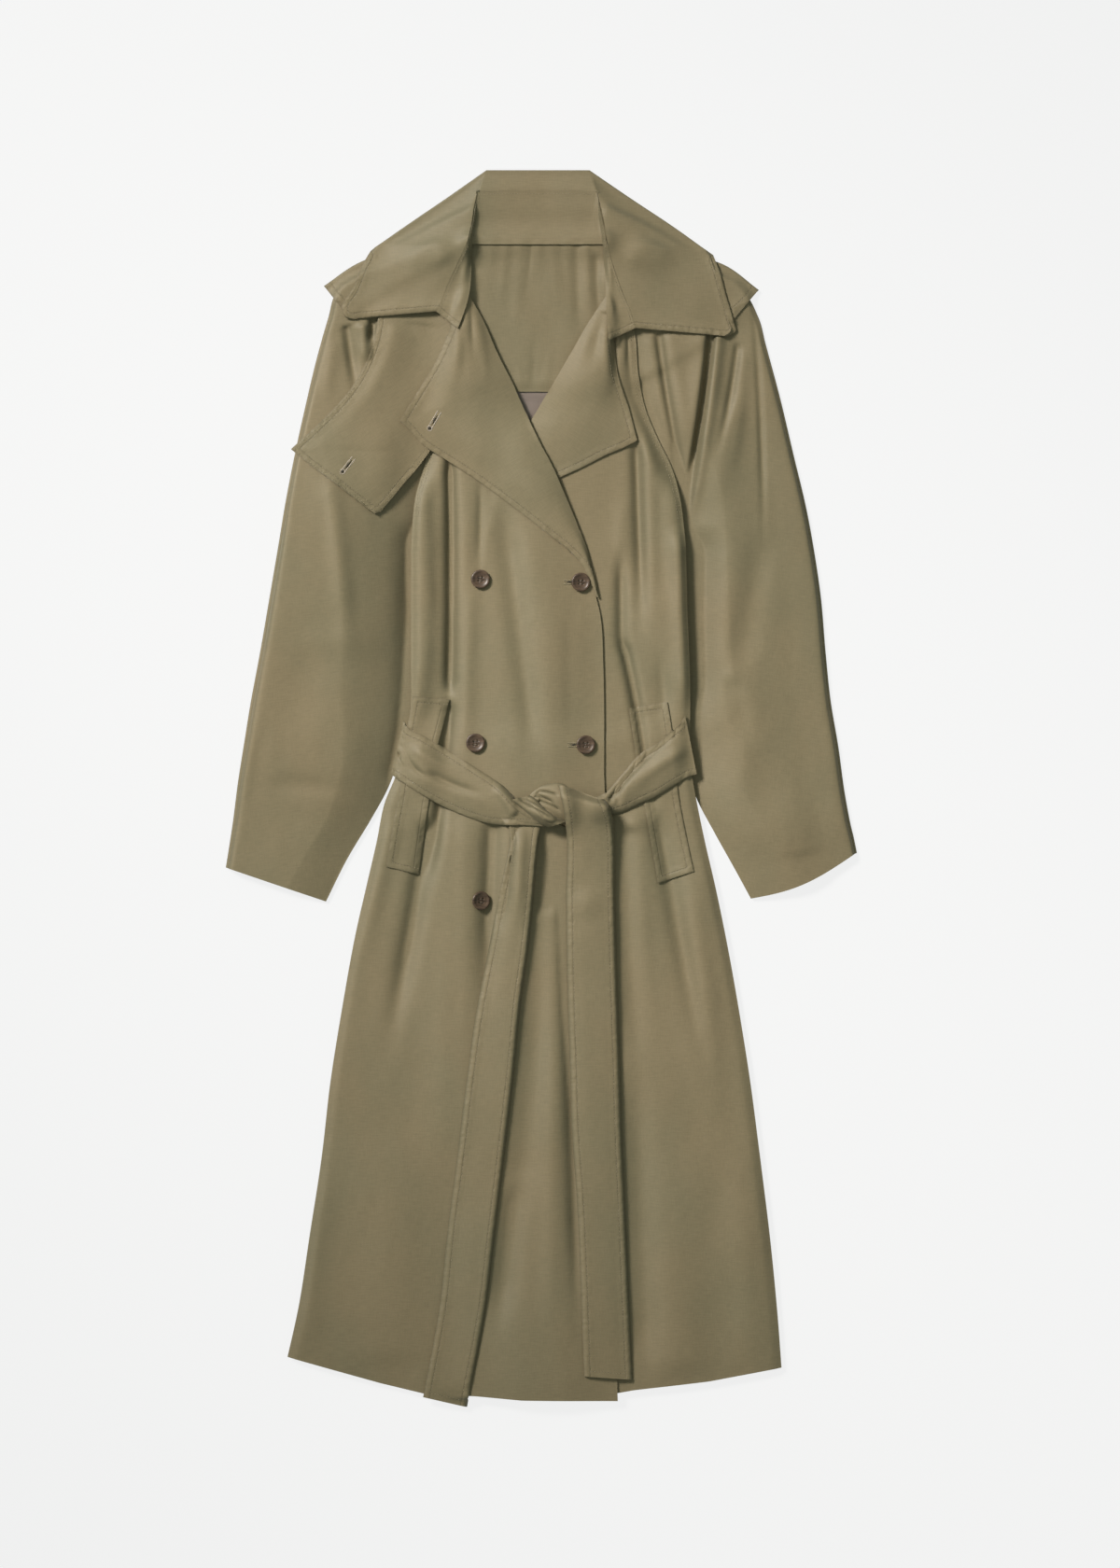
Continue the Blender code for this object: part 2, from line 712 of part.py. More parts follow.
def gun_flap():
    rows, _ = table(FLAP_COLUMNS, GUN_FLAP)
    plan = ruled(rows, steps_along=14, steps_across=7, corners=(GUN_FLAP_TIP,))
    lay("gun_flap", plan, FACED, gabardine, rise=ridges(plan, GUN_FLAP_FOLDS), softness=3)


def sleeve(rows):
    """A flattened tube: its hollow is highest in the middle, and low where the body lies on it."""
    values, _ = table(SLEEVE_COLUMNS, rows)
    sections = through(values, steps=21)
    points = [sections[:, 0:2], sections[:, 2:4], sections[:, 4:6]]
    tube = Folded(points, levels=(1, 0), steps=(8, 3), radius=SLEEVE_FOLD, thickness=CLOTH)
    front_layer = tube.legs[0]
    share = np.linspace(0, 1, front_layer.stop - front_layer.start)[None, :]
    pressed = sections[:, 7:8] / MM
    free = np.clip((share - pressed) / (1 - pressed), 0, 1)
    tube.crown = sections[:, 6:7] * (1 - np.abs(2 * free - 1) ** 2.4) ** 0.6
    tube.lay_under(1)
    return tube


def finish_sleeve(name, tube, folds):
    rise = np.zeros(tube.plan.shape[:2])
    front_layer = tube.legs[0]
    fade = np.sin(math.pi * np.linspace(0.08, 1, tube.crown.shape[1])) ** 0.5
    rise[:, front_layer] = tube.crown + ridges(tube.plan[:, front_layer], folds) * fade[None, :]
    tube.lay_over(1, rise, softness=2)
    tube.finish(name, gabardine, under_leg=1)


def storm_flap():
    """The back of the rear storm flap, whose lower edge sags; its two tips come round later."""
    values, _ = table(STORM_COLUMNS, STORM)
    sections = through(values, steps=8)
    points = [sections[:, 0:2], sections[:, 2:4], sections[:, 4:6], sections[:, 6:8]]
    cape = Folded(points, levels=(1, 0, 1), steps=(3, 10, 3), radius=CAPE_FOLD, thickness=CLOTH)
    back = cape.legs[1]
    bow = np.sin(math.pi * np.linspace(0, 1, back.stop - back.start))[None, :]
    cape.plan[:, back, 1] += sections[:, 8:9] * bow ** 0.8
    cape.lay_under(1)
    return cape


def collar_band():
    """The part of the collar behind the neck; its two leaves come round later."""
    values, _ = table(COLLAR_COLUMNS, COLLAR)
    sections = through(values, COLLAR_STEPS, COLLAR_CORNERS)
    points = [sections[:, 0:2], sections[:, 2:4], sections[:, 4:6]]
    in_front = np.clip(3 * sections[:, 7] / MM - 1, 0, 1)
    band = Folded(points, levels=(1, in_front), steps=(6, 3), radius=COLLAR_FOLD, thickness=FACED)
    band.roll = sections[:, 6:7]
    band.lay_under(1)
    return band


def collar_rise(band):
    """The roll of the collar: highest at its seam, flat towards its outer edge."""
    rise = np.zeros(band.plan.shape[:2])
    width = band.legs[0]
    share = np.linspace(0, 1, width.stop - width.start)[None, :]
    rise[:, width] = band.roll * (1 - smoothstep(share))
    return rise


def collar_stand():
    values, _ = table(STAND_COLUMNS, STAND)
    collar, _ = table(COLLAR_COLUMNS, COLLAR)
    together = np.column_stack([collar[:, 0:2], values, collar[:, 6]])
    sections = through(together, COLLAR_STEPS, COLLAR_CORNERS)
    plan = between(sections[:, 2:4], sections[:, 0:2], steps=3)
    _, across = shares_of(plan)
    rise = sections[:, 4:5] * smoothstep(0.9 * across)
    lay("collar_stand", plan, FACED, gabardine, rise=rise, softness=2)


def strip(name, rows, steps_along, steps_across, bulge=None, softness=4):
    """A length of belt or welt; bulge gives its rise from the shares along and across it."""
    values, _ = table(STRIP_COLUMNS, rows)
    plan = ruled(values, steps_along, steps_across)
    rise = 0 if bulge is None else bulge(*shares_of(plan))
    lay(name, plan, FACED, gabardine, rise=rise, softness=softness)


def belt_bulge(along, across):
    """A front stretch bulges along its middle and lies flat at the side of the coat."""
    return BELT_BULGE * np.sin(math.pi * across) ** 0.8 * smoothstep(along / 0.2)


def loop_bulge(along, across):
    return LOOP_BULGE * np.sin(math.pi * across) ** 0.7 * smoothstep(0.2 + along)


def wrap_bulge(along, across):
    return KNOT_BULGE * np.sin(math.pi * across) ** 0.7 * (0.6 + 0.4 * np.sin(math.pi * along))


def right_tail_bulge(along, across):
    return TAIL_BULGE * np.sin(math.pi * across) ** 0.8


def left_tail_bulge(along, across):
    """The tail comes over the knot before it hangs down."""
    over_knot = KNOT_CROWN * np.exp(-((along / KNOT_LENGTH) ** 2)) * smoothstep(along / 0.02)
    return over_knot * (0.75 + 0.25 * np.sin(math.pi * across)) + TAIL_BULGE * np.sin(math.pi * across)


def disc(x, y, radius):
    """Points of a disc."""
    turns = np.linspace(0, 2 * math.pi, BUTTON_SIDES)[:, None]
    radii = np.linspace(0, radius, 6)[None, :]
    return np.dstack([x + radii * np.cos(turns), y + radii * np.sin(turns)])


def button(number, x, y):
    """A turned button with a dished face, on a shank of thread that reaches down to the cloth."""
    level = bed.top[bed.places(disc(x, y, BUTTON_RADIUS))].max() + SEAM
    foot = bed.top[bed.places(disc(x, y, SHANK_RADIUS))].max() + SEAM - level
    lines = [(out * BUTTON_RADIUS, up * BUTTON_HEIGHT) for out, up in BUTTON_OUTLINE]
    lines += [(SHANK_RADIUS, 0), (SHANK_RADIUS, foot), (0, foot)]
    mesh = bpy.data.meshes.new(f"button_{number}")
    outline = bmesh.new()
    corners = [outline.verts.new((out, 0, up)) for out, up in lines]
    for start, end in zip(corners[:-1], corners[1:]):
        outline.edges.new((start, end))
    outline.to_mesh(mesh)
    outline.free()
    made = bpy.data.objects.new(f"button_{number}", mesh)
    made.location = (x, y, level)
    made.data.materials.append(horn)
    coat.objects.link(made)
    turned = made.modifiers.new("turned", "SCREW")
    turned.steps = BUTTON_SIDES
    turned.render_steps = BUTTON_SIDES
    turned.use_merge_vertices = True
    turned.merge_threshold = 0.01 * MM
    turned.use_smooth_shade = True
    reach = (-BUTTON_RADIUS, 0, BUTTON_RADIUS)
    bed.add(np.array([[[x + i, y + j, level + BUTTON_HEIGHT] for i in reach] for j in reach]))


def build():
    band = collar_band()
    cape = storm_flap()
    strip("belt_back", BACK_BELT, steps_along=8, steps_across=2, softness=1)
    left_tube = sleeve(LEFT_SLEEVE)
    right_tube = sleeve(RIGHT_SLEEVE)
    finish_sleeve("sleeve_left", left_tube, LEFT_SLEEVE_FOLDS)
    finish_sleeve("sleeve_right", right_tube, RIGHT_SLEEVE_FOLDS)
    back_panel()
    back_neck()
    front("front_left", ("under_edge", "left_side"), UNDER_HEM, LEFT_FOLDS, steps_across=14)
    lapel("lapel_left", LEFT_LAPEL, LEFT_LAPEL_TIP, steps_along=10, steps_across=6)
    front("front_right", ("right_side", "upper_edge"), UPPER_HEM, RIGHT_FOLDS, steps_across=17)
    cape.lay_over(1, softness=2)
    cape.finish("storm_flap", gabardine, under_leg=1)
    gun_flap()
    lapel("lapel_right", RIGHT_LAPEL, RIGHT_LAPEL_TIP, steps_along=14, steps_across=7)
    band.lay_over(1, collar_rise(band), softness=3)
    collar_stand()
    band.finish("collar_fall", gabardine, under_leg=1)
    strip("pocket_welt_right", RIGHT_WELT, steps_along=9, steps_across=3)
    strip("pocket_welt_left", LEFT_WELT, steps_along=9, steps_across=3)
    spots, _ = table(BUTTON_COLUMNS, BUTTONS)
    for number, (x, y) in enumerate(spots, start=1):
        button(number, x, y)
    strip("belt_right", RIGHT_BELT, steps_along=12, steps_across=4, bulge=belt_bulge)
    strip("belt_left", LEFT_BELT, steps_along=12, steps_across=4, bulge=belt_bulge)
    strip("belt_tail_right", RIGHT_TAIL, steps_along=22, steps_across=4, bulge=right_tail_bulge)
    strip("belt_knot_loop", KNOT_LOOP, steps_along=8, steps_across=5, bulge=loop_bulge)
    strip("belt_knot_wrap", KNOT_WRAP, steps_along=8, steps_across=4, bulge=wrap_bulge)
    strip("belt_tail_left", LEFT_TAIL, steps_along=28, steps_across=4, bulge=left_tail_bulge)


clear_scene()
coat = bpy.data.collections.new("trench_coat")
bpy.context.scene.collection.children.link(coat)
gabardine = material("gabardine", (0.235, 0.190, 0.117), roughness=0.72, sheen=0.2)
satin = material("lining_satin", (0.22, 0.17, 0.145), roughness=0.45)
horn = material("button_horn", (0.055, 0.035, 0.026), roughness=0.35)
bed = Bed()
build()
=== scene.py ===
"""The looks of a long double-breasted trench coat that lies flat on its back.

+X points to the wearer's left sleeve, +Y from the hem to the collar and +Z up out of the front.
"right" and "left" are the wearer's. Every piece of cloth is a thin shell whose plan comes from a table
of sections. The shells are laid one after another on a bed that remembers how high the cloth below
them lies, each with its own folds. Stitches, buttonholes and buttons are then put on the shells.
"""

import math
from functools import partial
from itertools import product

import bmesh
import bpy
import numpy as np
from mathutils import Matrix, Vector
from mathutils.bvhtree import BVHTree


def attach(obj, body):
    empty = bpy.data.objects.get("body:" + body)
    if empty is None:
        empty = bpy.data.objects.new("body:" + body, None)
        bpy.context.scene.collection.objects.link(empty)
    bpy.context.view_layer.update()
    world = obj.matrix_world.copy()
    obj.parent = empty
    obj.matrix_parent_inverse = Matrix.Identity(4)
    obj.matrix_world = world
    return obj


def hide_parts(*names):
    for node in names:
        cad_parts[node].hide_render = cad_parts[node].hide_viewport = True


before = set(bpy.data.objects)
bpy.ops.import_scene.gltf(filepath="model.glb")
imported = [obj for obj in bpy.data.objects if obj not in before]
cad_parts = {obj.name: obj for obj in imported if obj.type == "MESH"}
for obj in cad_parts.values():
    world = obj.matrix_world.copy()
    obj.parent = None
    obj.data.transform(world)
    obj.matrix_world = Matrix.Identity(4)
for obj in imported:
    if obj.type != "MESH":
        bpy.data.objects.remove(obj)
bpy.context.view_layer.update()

MM = 0.001
CLOTH = 1.2 * MM  # body, sleeves and yoke
FACED = 1.6 * MM  # collar, lapels, flaps and belt: two layers and a stiffener
LINING = 1.0 * MM
WELT = 0.7 * MM
SEAM = 0.35 * MM  # air between two pieces that lie on each other
SLOPE = 1.15  # a wall on a slope takes up this much more height than its thickness
SLEEVE_FOLD, CAPE_FOLD, COLLAR_FOLD = 2.5 * MM, 2.5 * MM, 2 * MM  # radius of a folded edge
BACK_INSET = 2 * MM  # the fronts reach this far over the sides of the back
CELL = 1.25 * MM  # of the bed
SEAM_GAP = 0.04 * MM  # between the stand of the collar and its band
BED_WIDTH, BED_LENGTH = 700 * MM, 1330 * MM
DROOP, BELT_DROOP = 14.0, 120.0  # curvature, per metre, of cloth that sags from what it lies on
INSET = 5.8 * MM  # of a topstitched row from its edge

# ---------------------------------------------------------------- tables, in millimetres and shares

# Sections of the body, from the neck down: the two side lines and the edges of the two fronts.
# The upper front's edge is its roll line first, then its free edge.
BODY_COLUMNS = "level right_side left_side upper_edge under_edge"
BODY = [
    (493, -101, 90, -66, 60), (465, -103, 97, -53, 42), (426, -105, 100, -35, 20),
    (388, -109, 108, -17, -3), (359, -114, 120, -2, -19), (330, -120, 134, 11, -32),
    (301, -128, 142, 23, -43), (264, -132, 147, 36, -53), (215, -133, 149, 51, -65),
    (177, -133, 150, 61, -72), (129, -133, 152, 64, -76), (81, -134, 153, 65, -78),
    (47, -140, 153, 65, -79), (12, -149, 155, 65, -79), (-15, -160, 160, 66, -79),
    (-54, -168, 168, 66, -79), (-102, -179, 179, 67, -79), (-150, -190, 189, 68, -79),
    (-227, -204, 203, 70, -79), (-303, -216, 215, 72, -79), (-380, -225, 225, 73, -79),
    (-457, -237, 235, 75, -79), (-534, -249, 243, 77, -79), (-585, -260, 247, 79, -79),
]
ARMPIT = 287
HEM_STARTS = -380  # level below which the sections bend into the hem's curve

# Hems of the two fronts and of the back: x, level.
UPPER_HEM = [(-260, -585), (-164, -612), (-118, -623), (-67, -625), (-19, -629), (79, -630)]
UNDER_HEM = [(-79, -620), (79, -622), (96, -619), (173, -610), (247, -596)]
BACK_HEM = [(-260, -579), (-164, -603), (-19, -616), (96, -613), (247, -590)]

# Back panel above the armpits, down its raglan seams: level, right side, left side.
BACK_TOP = [
    (559, -70, 63), (522, -82, 75), (474, -90, 84), (426, -92, 87), (388, -96, 96), (354, -105, 112),
    (321, -115, 127),
]

# Sleeves, from the neck to the cuff: inner edge of the front layer, outer fold, inner edge of the back
# layer, height of the hollow, and two shares of the width: how much of it lies flat under the body, and
# where the crown is.
LEFT_SLEEVE = [
    (70, 522, 108, 557, 64, 522, 1, 0, 0.5), (82, 495, 152, 538, 75, 495, 2, 0, 0.5),
    (91, 474, 204, 515, 83, 474, 4, 0, 0.45), (94, 444, 224, 483, 86, 444, 6, 0.03, 0.4),
    (97, 417, 231, 457, 90, 417, 7, 0.05, 0.4), (112, 368, 247, 397, 104, 368, 10, 0.09, 0.38),
    (127, 330, 260, 342, 120, 330, 11, 0.12, 0.38), (134, 292, 272, 292, 131, 292, 12, 0.14, 0.4),
    (132, 244, 281, 244, 132, 244, 12, 0.16, 0.4), (131, 196, 288, 196, 131, 196, 12, 0.17, 0.4),
    (132, 138, 293, 138, 132, 138, 12, 0.17, 0.4), (137, 90, 298, 90, 137, 90, 12, 0.16, 0.4),
    (146, 42, 306, 42, 146, 42, 12, 0.12, 0.4), (158, -6, 312, -2, 158, -6, 11, 0.03, 0.35),
    (179, -47, 318, -35, 179, -47, 13, 0, 0.4), (198, -81, 322, -52, 198, -81, 11, 0, 0.45),
    (216, -114, 325, -67, 216, -114, 9, 0, 0.5),
]
RIGHT_SLEEVE = [
    (-76, 522, -109, 557, -71, 522, 1, 0, 0.5), (-88, 495, -153, 538, -81, 495, 2, 0, 0.5),
    (-96, 470, -209, 511, -89, 470, 4, 0, 0.5), (-98, 445, -219, 482, -91, 445, 6, 0.03, 0.5),
    (-100, 420, -229, 447, -93, 420, 7, 0.05, 0.55), (-108, 373, -242, 393, -100, 373, 11, 0.05, 0.66),
    (-116, 330, -253, 343, -108, 330, 17, 0.05, 0.72),
    (-122, 292, -262, 297, -119, 292, 23, 0.05, 0.69), (-121, 244, -270, 249, -121, 244, 25, 0.05, 0.6),
    (-120, 196, -279, 196, -120, 196, 24, 0.05, 0.54), (-121, 138, -289, 138, -121, 138, 21, 0.05, 0.5),
    (-127, 95, -298, 90, -127, 95, 19, 0.04, 0.47), (-140, 52, -305, 47, -140, 52, 17, 0.02, 0.38),
    (-157, 0, -312, 2, -157, 0, 13, 0, 0.34), (-175, -33, -316, -30, -175, -33, 10, 0, 0.33),
    (-199, -73, -320, -57, -199, -73, 8.5, 0, 0.36), (-221, -117, -324, -82, -221, -117, 7.5, 0, 0.4),
]

# Rear storm flap, from the neck down: inner edge of the right tip, right fold, left fold, left tip, and
# how far the row bends up in its middle.
STORM = [
    (-69, 559, -70, 595, 68, 595, 66, 559, 0), (-101, 545, -107, 577, 110, 575, 104, 538, 0),
    (-136, 526, -149, 555, 152, 550, 143, 522, -10), (-168, 507, -187, 540, 188, 538, 171, 503, -40),
    (-200, 486, -223, 516, 224, 512, 198, 481, -110),
]

# Band of the collar, from its right front corner round the neck to its left one: seam to the stand,
# fold (or middle, in front), outer edge, height of the seam over the cloth, and whether the outer
# part lies in front (1) or behind (0).
COLLAR = [
    (-107, 489, -187, 482, -192, 481, 4, 1), (-106, 492, -196, 484, -201, 483, 4.5, 1),
    (-103, 498, -198, 492, -204, 492, 5, 1), (-94, 520, -188, 514, -193, 513, 7, 1),
    (-84, 541, -177, 538, -183, 538, 8.5, 1), (-76, 558, -170, 556, -175, 552, 9, 0.5),
    (-72, 575, -140, 577, -153, 559, 8.5, 0), (-69, 594, -96, 607, -113, 549, 7, 0),
    (-65, 612, -56, 635, -65, 557, 5, 0), (-33, 613, -28, 635, -33, 559, 4, 0),
    (0, 613, 0, 635, 0, 559, 3, 0), (29, 613, 24, 635, 29, 559, 4, 0),
    (58, 612, 50, 635, 58, 557, 5, 0), (62, 594, 91, 607, 106, 549, 7, 0),
    (66, 575, 139, 575, 148, 556, 9, 0), (69, 555, 171, 552, 177, 548, 9, 0.5),
    (74, 537, 177, 532, 183, 532, 8.5, 1), (83, 511, 183, 508, 189, 509, 7, 1),
    (93, 486, 192, 478, 198, 478, 5, 1), (96, 476, 194, 469, 200, 469, 4.5, 1),
    (97, 472, 187, 464, 192, 463, 4, 1),
]
COLLAR_CORNERS = (5, 8, 12, 15)  # rows at the shoulders and at the corners of the neck
COLLAR_STEPS = 220

# Stand of the collar: its neck edge, from the right front corner to the left one. Its other edge is
# the band's seam.
STAND = [
    (-85, 471), (-83, 476), (-80, 484), (-74, 506), (-72, 525), (-72, 541), (-72, 555), (-70, 558),
    (-53, 558), (-28, 558), (0, 558), (25, 558), (48, 558), (62, 558), (65, 555), (65, 541), (66, 525),
    (67, 503), (68, 476), (69, 465), (69, 459),
]

# Lapels, from the collar to the lowest point: outer edge, roll line, rise. The tip is a corner row.
RIGHT_LAPEL = [
    (-92, 473, -77, 511, 3), (-106, 441, -59, 478, 5), (-125, 409, -45, 446, 5),
    (-145, 377, -29, 415, 5), (-134, 366, -19, 392, 5), (-123, 354, -11, 375, 5), (-96, 336, 0, 352, 5),
    (-67, 317, 12, 329, 4), (-29, 289, 24, 301, 4), (8, 260, 38, 267, 3), (28, 244, 46, 246, 2),
    (43, 228, 51, 228, 1), (51, 212, 55, 212, 0), (57, 196, 58, 196, 0),
]
RIGHT_LAPEL_TIP = 3
LEFT_LAPEL = [
    (74, 460, 69, 507, 3), (79, 424, 48, 475, 5), (90, 390, 30, 444, 5), (99, 357, 13, 415, 5),
    (84, 349, 5, 402, 5), (69, 343, -2, 390, 4), (42, 329, -12, 374, 3), (16, 317, -20, 361, 2),
    (-7, 304, -27, 343, 1),
]
LEFT_LAPEL_TIP = 3

# Gun flap on the right shoulder, from the seam down to its rounded lower corner: outer and inner edge.
GUN_FLAP = [
    (-166, 494, -92, 494), (-168, 474, -88, 472), (-176, 445, -88, 434), (-194, 411, -93, 396),
    (-224, 377, -103, 363), (-256, 347, -116, 343), (-234, 329, -128, 327), (-211, 312, -141, 312),
    (-190, 296, -153, 297), (-170, 281, -164, 284),
]
GUN_FLAP_TIP = 5
FLAP_FREE_ROWS, FLAP_STITCHED_ROWS = 30, 52  # rows of its plan at the end of its inner edge

# Pocket welts, from the top down, and lengths of belt: both edges of each.
RIGHT_WELT = [
    (-131, 94, -94, 91), (-136, 67, -100, 67), (-141, 35, -108, 35), (-145, -2, -114, -6),
    (-152, -40, -120, -46), (-159, -81, -126, -89),
]
LEFT_WELT = [
    (130, 88, 90, 82), (134, 63, 94, 56), (137, 33, 99, 21), (141, -6, 106, -17), (148, -44, 113, -57),
    (157, -86, 120, -98),
]
RIGHT_BELT = [
    (-141, 69, -154, 14), (-136, 61, -145, 8), (-121, 53, -126, -4), (-106, 44, -101, -18),
    (-89, 34, -78, -28), (-72, 23, -57, -35), (-55, 12, -43, -37), (-42, 3, -30, -38),
    (-32, -7, -13, -38), (-23, -17, 4, -39), (-7, -27, 25, -39),
]
LEFT_BELT = [
    (148, 74, 160, 14), (144, 67, 152, 12), (133, 57, 138, 4), (119, 45, 118, -8), (102, 34, 100, -16),
    (83, 12, 84, -24), (66, -6, 68, -28), (50, -13, 52, -31),
]
BACK_BELT = [(-124, 56, -128, 6), (0, 42, 0, -8), (131, 58, 137, 6)]
RIGHT_TAIL = [
    (-33, -36, -1, -36), (-31, -59, -4, -59), (-35, -78, -6, -80), (-42, -111, -9, -116),
    (-49, -148, -13, -155), (-67, -241, -23, -231), (-73, -284, -28, -284), (-85, -380, -39, -380),
    (-95, -457, -49, -462), (-102, -524, -57, -529), (-120, -626, -77, -636),
]
LEFT_TAIL = [
    (19, 3, 64, -13), (21, -6, 68, -19), (24, -20, 72, -30), (27, -42, 74, -47), (27, -111, 75, -111),
    (28, -192, 77, -188), (31, -284, 80, -284), (33, -351, 82, -354), (38, -421, 85, -423),
    (42, -515, 89, -517), (45, -604, 93, -608),
]
KNOT_LOOP = [
    (-12, -9, -8, -21), (-5, -3, -2, -25), (2, 1, 5, -29), (10, 3, 13, -32), (18, 4, 21, -34),
    (24, 2, 26, -35), (31, -6, 32, -35),
]
KNOT_WRAP = [
    (-12, -9, -29, -12), (-7, -12, -22, -17), (-1, -18, -15, -23), (6, -25, -8, -29), (16, -32, 0, -35),
    (26, -36, 8, -39),
]

# Yoke inside the back of the neck and the lining below it, from the top down: right and left edge.
YOKE = [(-73, 564, 67, 564), (-78, 522, 70, 522), (-77, 465, 68, 465), (-75, 407, 66, 407)]
NECK_LINING = [(-46, 412, 31, 412), (-44, 388, 25, 388), (-40, 361, 18, 361)]

# Middles of the buttons.
BUTTONS = [(-62, 214), (41, 211), (-67, 46), (46, 44), (-62, -116), (47, -119)]

RAGLAN_ENDS = 275  # level where the front raglan seams end under the arms

# Buttonholes: the piece, and the slit from its plain end to its keyhole end.
HOLES = [
    ("lapel_right", -104, 386, -114, 369), ("gun_flap", -192, 338, -203, 324),
    ("front_right", 24, 211, 35, 211), ("front_right", 28, 44, 40, 44),
]

# Folds: a ridge (or, below zero, a trough) from one point to another; its half width, height and
# sideways bend, and the shares of its length, in hundredths, over which it rises and over which it dies.
RIGHT_FOLDS = [
    (-94, 359, -94, 88, 6, -8, 2, 15, 10), (-94, 95, -119, -111, 6.5, -7, 4, 8, 30),
    (-117, 311, -119, 76, 14, 2.5, 0, 20, 20), (-76, 349, -80, -6, 10, 2.5, 2, 30, 30),
    (-62, 330, -63, 196, 4, -1.5, 0, 30, 50), (-41, 311, -4, 13, 12, -4.8, 0, 25, 30),
    (4, 253, 24, -35, 26, 1.5, 0, 30, 30), (28, 196, 31, 42, 7, -0.8, 0, 30, 30),
    (-149, -20, -187, -188, 9, 2.5, 0, 20, 50), (-116, -25, -161, -284, 10, -7, 4, 8, 50),
    (-84, -15, -105, -467, 24, 4, 4, 10, 40), (-49, -27, -59, -265, 10, -7, 0, 8, 60),
    (8, -38, 4, -135, 11, -5.5, 0, 3, 20), (8, -83, -25, -438, 18, -5.5, 2, 20, 15),
    (-24, -399, -45, -572, 12, -6, 0, 20, 40), (12, -54, 10, -611, 10, 2, 0, 20, 30),
    (22, -39, 40, -591, 7, -6.5, 0, 5, 30), (23, -35, 24, -342, 17, -3.5, 0, 5, 50),
    (23, -119, 72, -119, 22, -8, 0, 35, 35), (-148, -323, -153, -601, 34, 3, 0, 50, 10),
    (-220, -342, -247, -591, 16, 2, 0, 50, 20),
]
LEFT_FOLDS = [
    (82, 253, 83, 133, 6, -5, 0, 40, 20), (83, 157, 108, 23, 6, -7.5, 2, 15, 10),
    (98, 373, 105, 148, 7, -7.5, 0, 15, 50), (106, 397, 123, 95, 14, 4.6, -3, 20, 30),
    (83, 311, 81, 215, 7, 1, 0, 40, 40), (123, 148, 129, 71, 7, -2.5, 0, 50, 30),
    (106, 28, 119, -25, 6, -3, 0, 10, 30), (92, -35, 96, -294, 13, -4.5, 0, 5, 30),
    (96, -246, 110, -620, 14, -4, 0, 30, 20), (96, -20, 105, -246, 11, 4, 0, 10, 50),
    (118, -17, 181, -342, 11, -6, -1, 10, 50), (152, -54, 183, -399, 16, 4, -2, 30, 50),
    (135, -342, 144, -611, 30, 3, 0, 50, 10), (202, -342, 217, -601, 18, 2.5, 0, 50, 20),
    (144, 273, 152, 76, 12, 8, 0, 15, 20),
]
LEFT_SLEEVE_FOLDS = [
    (120, 472, 150, 297, 4, -4.5, -2, 5, 20), (110, 468, 137, 330, 7, 2, -2, 10, 40),
    (131, 472, 154, 330, 8, 2, 0, 10, 40), (176, 474, 144, 267, 3.6, -10, 3, 2, 4),
    (168, 472, 156, 359, 9, 2, 2, 5, 50), (184, 472, 151, 267, 7, 4, 3, 5, 20),
    (194, 407, 173, 273, 14, 3, 3, 20, 50), (203, 459, 178, 332, 3.5, -4, 3, 6, 60),
    (209, 453, 194, 311, 7, 2, 2, 10, 60), (219, 493, 228, 234, 3.2, -3.6, 3, 6, 60),
    (233, 273, 203, 105, 15, -3.2, -3, 30, 30), (195, 117, 212, 36, 10, -2.5, 0, 20, 50),
    (177, 234, 177, 42, 14, 1, 0, 40, 50), (164, 273, 164, 61, 19, -6, 0, 15, 30),
    (250, 42, 269, -73, 22, 1.5, 0, 50, 10),
]
RIGHT_SLEEVE_FOLDS = [
    (-200, 476, -188, 396, 5, -5.5, 0, 5, 60), (-184, 478, -180, 434, 6, 4.5, 0, 10, 40),
    (-172, 484, -174, 453, 4, -6, 0, 5, 50), (-213, 465, -224, 388, 8, 3, 0, 20, 50),
    (-218, 397, -240, 234, 16, 1.2, 4, 40, 50), (-218, 330, -199, 119, 10, 2.4, 3, 15, 40),
    (-130, 282, -134, 52, 14, -7, 0, 15, 20), (-130, 100, -149, -6, 12, -6, 0, 30, 20),
    (-240, 196, -251, 42, 26, -1.5, 0, 50, 50), (-285, 81, -305, -44, 10, -2.5, 0, 40, 40),
    (-184, 61, -240, -83, 20, 1, -4, 50, 30), (-268, 148, -153, 138, 16, 1.6, 8, 40, 50),
    (-299, 2, -180, -8, 10, -1.8, 5, 40, 50),
]
YOKE_GATHERS = [
    (-50, 559, -52, 522, 3, 0.3, 0, 0, 60), (-35, 559, -42, 493, 4, 0.48, 0, 0, 60),
    (-22, 559, -28, 453, 6, 0.72, 2, 0, 60), (-10, 559, -17, 501, 2.2, -0.66, 1, 0, 70),
    (-1, 559, -3, 532, 3, 0.42, 0, 0, 60), (13, 559, 20, 493, 6, 0.6, -2, 0, 60),
    (25, 559, 28, 526, 3, 0.3, 0, 0, 60), (37, 559, 42, 453, 5, -1.44, -2, 0, 60),
    (47, 557, 51, 468, 4, 0.96, 0, 0, 60), (57, 551, 60, 468, 4, -1.44, 0, 10, 50),
    (-66, 541, -69, 472, 7, -1.32, 0, 10, 60), (-19, 406, -25, 453, 4, 0.48, 1, 0, 70),
    (-8, 406, -3, 474, 4, -0.6, 2, 0, 70), (3, 406, 12, 459, 4, 0.48, 0, 0, 70),
]
GUN_FLAP_FOLDS = [
    (-125, 479, -138, 388, 16, -2, 3, 5, 60), (-149, 479, -188, 378, 16, 1.6, 4, 10, 50),
    (-170, 388, -153, 292, 18, 2, 0, 40, 40),
]
